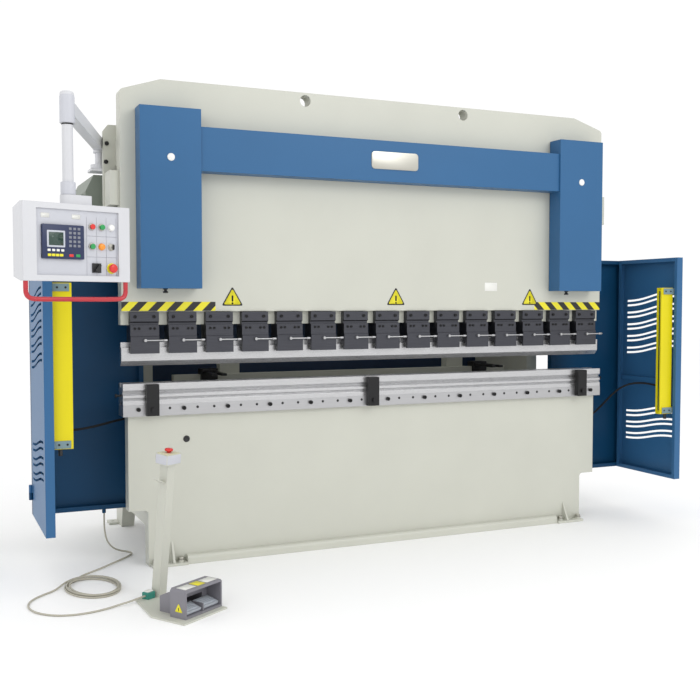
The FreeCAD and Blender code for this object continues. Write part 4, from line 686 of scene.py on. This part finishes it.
# Controller: bezel, screen and rows of keys
CONTROLLER = (-0.062, 1.680)
CONTROLLER_SEAT = 0.0002
CONTROLLER_THICK = 0.0130
CONTROLLER_FACE = CONTROLLER_SEAT + CONTROLLER_THICK
SCREEN = (-0.097, 1.692)
SCREEN_RIM = 0.0012
fitted("controller_front", plate(0.196, 0.148, 0.005, CONTROLLER_THICK, 0.0012),
       on_panel(*CONTROLLER, CONTROLLER_SEAT), PANEL_TURN, "pendant", navy_plastic)
fitted("screen_frame", plate(0.084, 0.072, 0.003, SCREEN_RIM, 0.0004),
       on_panel(*SCREEN, CONTROLLER_FACE), PANEL_TURN, "pendant", screen_bezel)
fitted("screen_glass", plate(0.068, 0.057, 0.001, 0.0006, 0.0002),
       on_panel(*SCREEN, CONTROLLER_FACE + SCREEN_RIM), PANEL_TURN, "pendant", screen_glass)


def keys(name, along, height, pitch, columns, rows, size, material):
    """Grid of small rounded keys standing proud of the controller, from its top left."""
    spots = [on_panel(along + pitch[0] * column, height - pitch[1] * row, CONTROLLER_FACE)
             for column in range(columns) for row in range(rows)]
    repeated(name, plate(*size, 0.0016, 0.0014, 0.0006), spots, PANEL_TURN, "pendant", material)


UPPER_KEYS = 1.643
LOWER_KEYS = 1.622
keys("number_keys", -0.030, 1.738, (0.0205, 0.0185), 3, 5, (0.013, 0.011), grey_keys)
keys("white_keys", -0.130, UPPER_KEYS, (0.021, 0), 4, 1, (0.014, 0.010), label_white)
keys("yellow_keys", -0.128, LOWER_KEYS, (0.0185, 0), 4, 1, (0.016, 0.011), label_yellow)
keys("red_keys", -0.026, LOWER_KEYS, (0, 0), 1, 1, (0.020, 0.012), red_plastic)
keys("green_keys", 0.006, LOWER_KEYS, (0, 0), 1, 1, (0.020, 0.012), green_plastic)

# Fine lines that divide the control columns, and two blank labels above
LINE_WIDTH = 0.0012
UPRIGHT_LINE = plate(LINE_WIDTH, 0.262, 0.0005, 0.0004, 0.0001)
LEVEL_LINE = plate(0.150, LINE_WIDTH, 0.0005, 0.0004, 0.0001)
panel_lines = [placed(UPRIGHT_LINE, on_panel(along, 1.665, SKIN), PANEL_TURN)
               for along in (0.055, 0.104, 0.152, 0.202)]
panel_lines += [placed(LEVEL_LINE, on_panel(0.130, height, SKIN), PANEL_TURN)
                for height in (1.712, 1.620)]
dress(add_mesh("panel_lines", *joined(panel_lines)), "pendant", line_grey)
repeated("panel_labels", plate(0.040, 0.020, 0.002, 0.0006, 0.0002),
         [on_panel(along, 1.792, SKIN) for along in (-0.140, 0.005)], PANEL_TURN, "pendant",
         label_white)

# Round head of the arm, dark ring and collar round the tube, and the bent handle.
# Each profile is (radius, height above the floor).
TUBE_RADIUS = 0.0245
ARM_HEAD = [(0.0182, 2.2052), (0.0322, 2.2052), (0.0328, 2.210), (0.0328, 2.318),
            (0.0300, 2.333), (0.0220, 2.343), (0.0100, 2.3465), (0.0, 2.347)]
TUBE_RING = [(TUBE_RADIUS, 2.1985), (0.0255, 2.1990), (0.0255, 2.2038), (TUBE_RADIUS, 2.2042)]
COLLAR = [(TUBE_RADIUS, 1.8920), (0.0320, 1.8920), (0.0326, 1.8950), (0.0326, 1.9440),
          (0.0312, 1.9480), (0.0242, 1.9490)]
tube_foot = (*PENDANT_AXIS, 0)
fitted("arm_head", lathe(ARM_HEAD), tube_foot, None, "swing_arm", panel_paint)
fitted("tube_ring", lathe(TUBE_RING), tube_foot, None, "pendant", label_black)
fitted("tube_collar", lathe(COLLAR), tube_foot, None, "pendant", panel_paint)

HANDLE_DEPTH = -0.054
HANDLE_RADIUS = 0.0105
HANDLE_ROUTE = [(-0.230, 1.512), (-0.230, 1.490), (-0.230, 1.455), (-0.214, 1.436),
                (-0.180, 1.432), (-0.060, 1.432), (0.090, 1.432), (0.200, 1.432),
                (0.234, 1.436), (0.250, 1.455), (0.250, 1.490), (0.250, 1.512)]
handle_route = [tuple(np.array((*PENDANT_AXIS, height)) + ALONG * along
                      + BEHIND * HANDLE_DEPTH) for along, height in HANDLE_ROUTE]
dress(add_mesh("handle_bar", *sweep(centre_line(handle_route), HANDLE_RADIUS, 20)), "pendant",
      red_paint, slot="handle_red", stands_for=["pendant_handle"])

# ---------------------------------------------------------------- covers, ram and labels
FRONT = frame_of((0, -1, 0))
RIGHT = frame_of((1, 0, 0))
DOWN = frame_of((0, 0, -1))
cover_low, cover_high = box_of("cylinder_cover_right")
cover_x, cover_y = (cover_low[:2] + cover_high[:2]) / 2
COVER_CAP = [(0.020, 0.0), (0.020, 0.002), (0.0188, 0.0038), (0.012, 0.0054), (0.0, 0.0060)]
CATCH = [(0.013, 0.0), (0.013, 0.004), (0.008, 0.006), (0.008, 0.014), (0.014, 0.016),
         (0.014, 0.022), (0.012, 0.024), (0.0, 0.024)]
repeated("cover_caps", lathe(COVER_CAP),
         [(side * cover_x, cover_low[1], 2.175) for side in (-1, 1)], FRONT, "frame",
         white_plastic)
repeated("cover_catches", lathe(CATCH),
         [(x, cover_y, cover_low[2]) for x in (-1.330, 1.240)], DOWN, "frame", black_plastic)

SIGN_SPOTS = [(-0.945, 1.437), (0.060, 1.440), (1.005, 1.440)]
SIGN_THICK = 0.0012
SIGN_FACE_THICK = 0.0005
MARK_FRONT = RAM_FRONT - SIGN_THICK - SIGN_FACE_THICK
repeated("sign_borders", pad(triangle(0.122, 0.006), SIGN_THICK, 0.0004),
         [(x, RAM_FRONT, z) for x, z in SIGN_SPOTS], FRONT, "ram", label_black)
repeated("sign_faces", pad(triangle(0.100, 0.006), SIGN_FACE_THICK, 0.0002),
         [(x, RAM_FRONT - SIGN_THICK, z) for x, z in SIGN_SPOTS], FRONT, "ram", label_yellow)
MARK_BAR = plate(0.010, 0.034, 0.004, 0.0004, 0.0001)
MARK_DOT = lathe([(0.0055, 0.0), (0.0055, 0.0004), (0.0, 0.0004)])
sign_mark = joined([placed(MARK_BAR, (0, 0.004, 0)), placed(MARK_DOT, (0, -0.022, 0))])
repeated("sign_marks", sign_mark, [(x, MARK_FRONT, z) for x, z in SIGN_SPOTS], FRONT, "ram",
         label_black)
fitted("rating_label", plate(0.090, 0.052, 0.003, 0.0008, 0.0003), (0.718, RAM_FRONT, 1.517),
       FRONT, "ram", label_white)
fitted("blank_badge", plate(0.300, 0.100, 0.020, 0.004, 0.0015),
       (0.0, box_of("pipe_cover")[0][1], 2.232), FRONT, "frame", zinc)

# Clamp screws and lever knobs
CLAMP_X = (np.arange(15) - 7) * 0.2045
JAW_FACE = -0.059
BODY_FACE = -0.0572
LEVER_END = (0.0985, -0.073, 1.2185)
BODY_SCREW_SCALE = 1.25
SOCKET_SCREW = np.array([(0.0068, 0.0), (0.0068, 0.0052), (0.0060, 0.0060), (0.0036, 0.0060),
                         (0.0034, 0.0030), (0.0, 0.0030)])
LEVER_KNOB = [(0.0040, -0.004), (0.0062, -0.002), (0.0066, 0.004), (0.0066, 0.016),
              (0.0054, 0.020), (0.0, 0.021)]
repeated("jaw_screws", lathe(SOCKET_SCREW, 20),
         [(x + dx, JAW_FACE, 1.281) for x in CLAMP_X for dx in (-0.052, -0.030, 0.030, 0.052)],
         FRONT, "ram", black_steel)
repeated("clamp_body_screws", lathe(SOCKET_SCREW * BODY_SCREW_SCALE, 20),
         [(x + dx, BODY_FACE, 1.344) for x in CLAMP_X for dx in (-0.050, 0.050)], FRONT, "ram",
         black_steel)
repeated("lever_ends", lathe(LEVER_KNOB, 20), [np.array(LEVER_END) + (x, 0, 0) for x in CLAMP_X],
         RIGHT, "ram", steel)

RAIL_FRONT = box_of("die_rail")[0][1]
HOLE_PITCH = 0.245
HOLE_OFFSET = 0.076
HOLE_REACH = 1.54
RAIL_HOLE = [(0.0074, -0.001), (0.0074, 0.0004), (0.0066, 0.0008), (0.0, 0.0008)]
hole_x = [(i - 6) * HOLE_PITCH + side * HOLE_OFFSET for i in range(13) for side in (-1, 1)]
repeated("rail_hole_caps", lathe(RAIL_HOLE, 20),
         [(x, RAIL_FRONT, 0.8542) for x in hole_x if abs(x) < HOLE_REACH], FRONT, "frame",
         label_black)

# ---------------------------------------------------------------- bolts
WASHER_THICK = 0.0018


def bolts(name, spots, across, thick, axis, body, material):
    """Hexagon heads of one size, each on a low washer."""
    head = pad(hexagon(across), thick, thick * 0.25)
    washer = lathe([(across * 0.62, 0.0), (across * 0.62, WASHER_THICK), (0.0, WASHER_THICK)], 24)
    bolt = joined([placed(head, (0, 0, WASHER_THICK)), washer])
    repeated(name, bolt, spots, frame_of(axis), body, material)


EDGE_BOLTS = [(side * x, 0.130, z) for side in (-1, 1)
              for x, z in ((1.590, 2.172), (1.585, 2.270), (1.590, 1.900), (1.590, 1.700))]
bolts("guide_bolts", EDGE_BOLTS, 0.019, 0.008, (0, -1, 0), "frame", black_steel)
LEVEL_BOLTS = [(side * x, -0.059, 0.026) for side in (-1, 1) for x in (1.247, 1.384)]
bolts("level_bolt_heads", LEVEL_BOLTS, 0.030, 0.014, (0, 0, 1), "frame", zinc)
BED_PLUG = [(0.0180, 0.0), (0.0180, 0.002), (0.0165, 0.0042), (0.0100, 0.0042),
            (0.0092, 0.0018), (0.0, 0.0018)]
fitted("bed_plug", lathe(BED_PLUG), (-1.204, box_of("bed_plate")[0][1], 0.679), FRONT, "frame",
       black_plastic)
GUARD_BOLTS = [(side * x, 0.2765, z) for side in (-1, 1) for x in (1.42, 1.46)
               for z in (0.555, 1.58)]
bolts("guard_bolts", GUARD_BOLTS, 0.016, 0.007, (0, -1, 0), "frame", zinc)
HINGE_X = 1.9835
for side, name in ((-1, "left"), (1, "right")):
    spots = [(side * HINGE_X, y, z) for y in (0.243, 0.268) for z in (0.380, 1.620)]
    bolts("hinge_bolts_" + name, spots, 0.010, 0.005, (side, 0, 0), "frame", zinc)

# ---------------------------------------------------------------- light curtains
LENS_X = 1.8442
PLATE_X = 1.893
PLATE_HEIGHTS = (0.723, 1.492)
PLATE_THICK = 0.0022
PLATE_FRONT = box_of("light_curtain_left")[0][1] - 0.0002
CURTAIN_SCREW_X = (1.869, 1.909)
CURTAIN_SCREW = [(0.0055, 0.0), (0.0050, 0.0016), (0.0030, 0.0016), (0.0, 0.0006)]
PLUG_SLEEVE = [(0.0098, 0.0), (0.0105, 0.002), (0.0105, 0.030), (0.0098, 0.0345)]
for side, name in ((-1, "left"), (1, "right")):
    door = name + "_door"
    fitted("curtain_lens_" + name, plate(0.0140, 0.770, 0.002, 0.0015, 0.0005),
           (side * LENS_X, -0.282, 1.1075), frame_of((-side, 0, 0)), door, screen_glass)
    repeated("curtain_plates_" + name, plate(0.082, 0.038, 0.002, PLATE_THICK, 0.0006),
             [(side * PLATE_X, PLATE_FRONT, z) for z in PLATE_HEIGHTS], FRONT, door, blue_grey)
    repeated("curtain_screws_" + name, lathe(CURTAIN_SCREW, 20),
             [(side * x, PLATE_FRONT - PLATE_THICK, z) for z in PLATE_HEIGHTS
              for x in CURTAIN_SCREW_X], FRONT, door, black_steel)
    fitted("curtain_plug_" + name, lathe(PLUG_SLEEVE, 24), (side * 1.900, -0.279, 0.6655), None,
           door, black_plastic)

# ---------------------------------------------------------------- pedal station
STAND_TURN = math.radians(33)
STAND_PLACE = np.array((-1.487, -1.062, 0.0))
STAND_AXES = np.array(((math.cos(STAND_TURN), -math.sin(STAND_TURN), 0),
                       (math.sin(STAND_TURN), math.cos(STAND_TURN), 0), (0, 0, 1)))
LEAN = math.radians(6)
LEAN_AXES = STAND_AXES @ np.array(((1, 0, 0), (0, math.cos(LEAN), -math.sin(LEAN)),
                                   (0, math.sin(LEAN), math.cos(LEAN))))
BOX_TOP = 0.700
BOX_MIDDLE = 0.675
SIDE_TURN = frame_of(STAND_AXES @ (-1, 0, 0))


def on_station(x, y, z):
    """Place on the pedal station, in its own axes."""
    return STAND_AXES @ np.array((x, y, z)) + STAND_PLACE


def up_post(height):
    """Place on the middle line of the leaning post."""
    return on_station(0.250, 0.395, 0.008) + LEAN_AXES @ (0, 0, height)


STAND_MUSHROOM = [STEM, (0.009, 0.0080), (0.0130, 0.0080), (0.0120, 0.0100), (0.0185, 0.0120),
                  (0.0200, 0.0140), (0.0200, 0.0185), (0.0185, 0.0215), (0.0150, 0.0232),
                  (0.0080, 0.0243), (0.0, 0.0246)]
fitted("stand_estop_head", lathe(STAND_MUSHROOM), up_post(BOX_TOP), LEAN_AXES,
       "stand_estop_part", red_plastic, stands_for=["stand_estop"])
fitted("stand_box_lid", plate(0.092, 0.072, 0.010, 0.0022, 0.001), up_post(BOX_TOP), LEAN_AXES,
       "frame", lid_paint)
fitted("stand_box_shell", block((0.099, 0.079, 0.0515), 0.009), up_post(BOX_MIDDLE), LEAN_AXES,
       "frame", panel_paint)

HOUSING_SIDE = 0.0418
HOUSING_MARK = 0.0411
LABEL_Y = 0.072
HOUSING_TOP = 0.138
fitted("housing_sign", pad(triangle(0.046, 0.003), 0.0008, 0.0003),
       on_station(HOUSING_SIDE, LABEL_Y, 0.050), SIDE_TURN, "frame", label_yellow)
fitted("housing_sign_mark", plate(0.0045, 0.015, 0.002, 0.0004, 0.0001),
       on_station(HOUSING_MARK, LABEL_Y, 0.050), SIDE_TURN, "frame", label_black)
for name, x, width, material in (("housing_label_left", 0.092, 0.072, label_white),
                                 ("housing_label_middle", 0.165, 0.052, label_yellow),
                                 ("housing_label_right", 0.236, 0.072, label_white)):
    fitted(name, plate(width, 0.056, 0.002, 0.0006, 0.0002),
           on_station(x, LABEL_Y, HOUSING_TOP), STAND_AXES, "frame", material)
fitted("connector_top", plate(0.036, 0.030, 0.004, 0.006, 0.002),
       on_station(0.191, 0.404, 0.040), STAND_AXES, "frame", label_white)


# ---------------------------------------------------------------- floor and light
def lamp(name, place, aim, size, watts):
    """Soft square lamp pointed at a spot."""
    data = bpy.data.lights.new(name, "AREA")
    data.size = size
    data.energy = watts
    piece = bpy.data.objects.new(name, data)
    bpy.context.scene.collection.objects.link(piece)
    piece.location = place
    piece.rotation_euler = (Vector(aim) - Vector(place)).to_track_quat("-Z", "Y").to_euler()


FLOOR_HALF = 30.0
FLOOR_Z = -0.0005
WORLD_STRENGTH = 1.04
floor_corners = [(x * FLOOR_HALF, y * FLOOR_HALF, FLOOR_Z)
                 for x, y in ((-1, -1), (1, -1), (1, 1), (-1, 1))]
floor = add_mesh("floor", floor_corners, [(0, 1, 2, 3)], smooth=False)
paint(floor, coated("floor_finish", (0.97, 0.97, 0.97), 0.7, height=0.0, drift=0.0))

world = bpy.data.worlds.new("studio")
bpy.context.scene.world = world
world.use_nodes = True
sky = world.node_tree.nodes["Background"]
sky.inputs["Color"].default_value = (1.0, 1.0, 1.0, 1)
sky.inputs["Strength"].default_value = WORLD_STRENGTH
lamp("key_lamp", (2.5, -6.5, 5.0), (0, 0, 1.2), 3.0, 110)
lamp("fill_lamp", (-5.5, -5.0, 3.5), (-1.0, 0, 1.2), 3.0, 40)
lamp("top_lamp", (0.5, 0.5, 7.0), (0, 0, 1.0), 4.0, 30)
bpy.context.scene.view_settings.view_transform = "Standard"
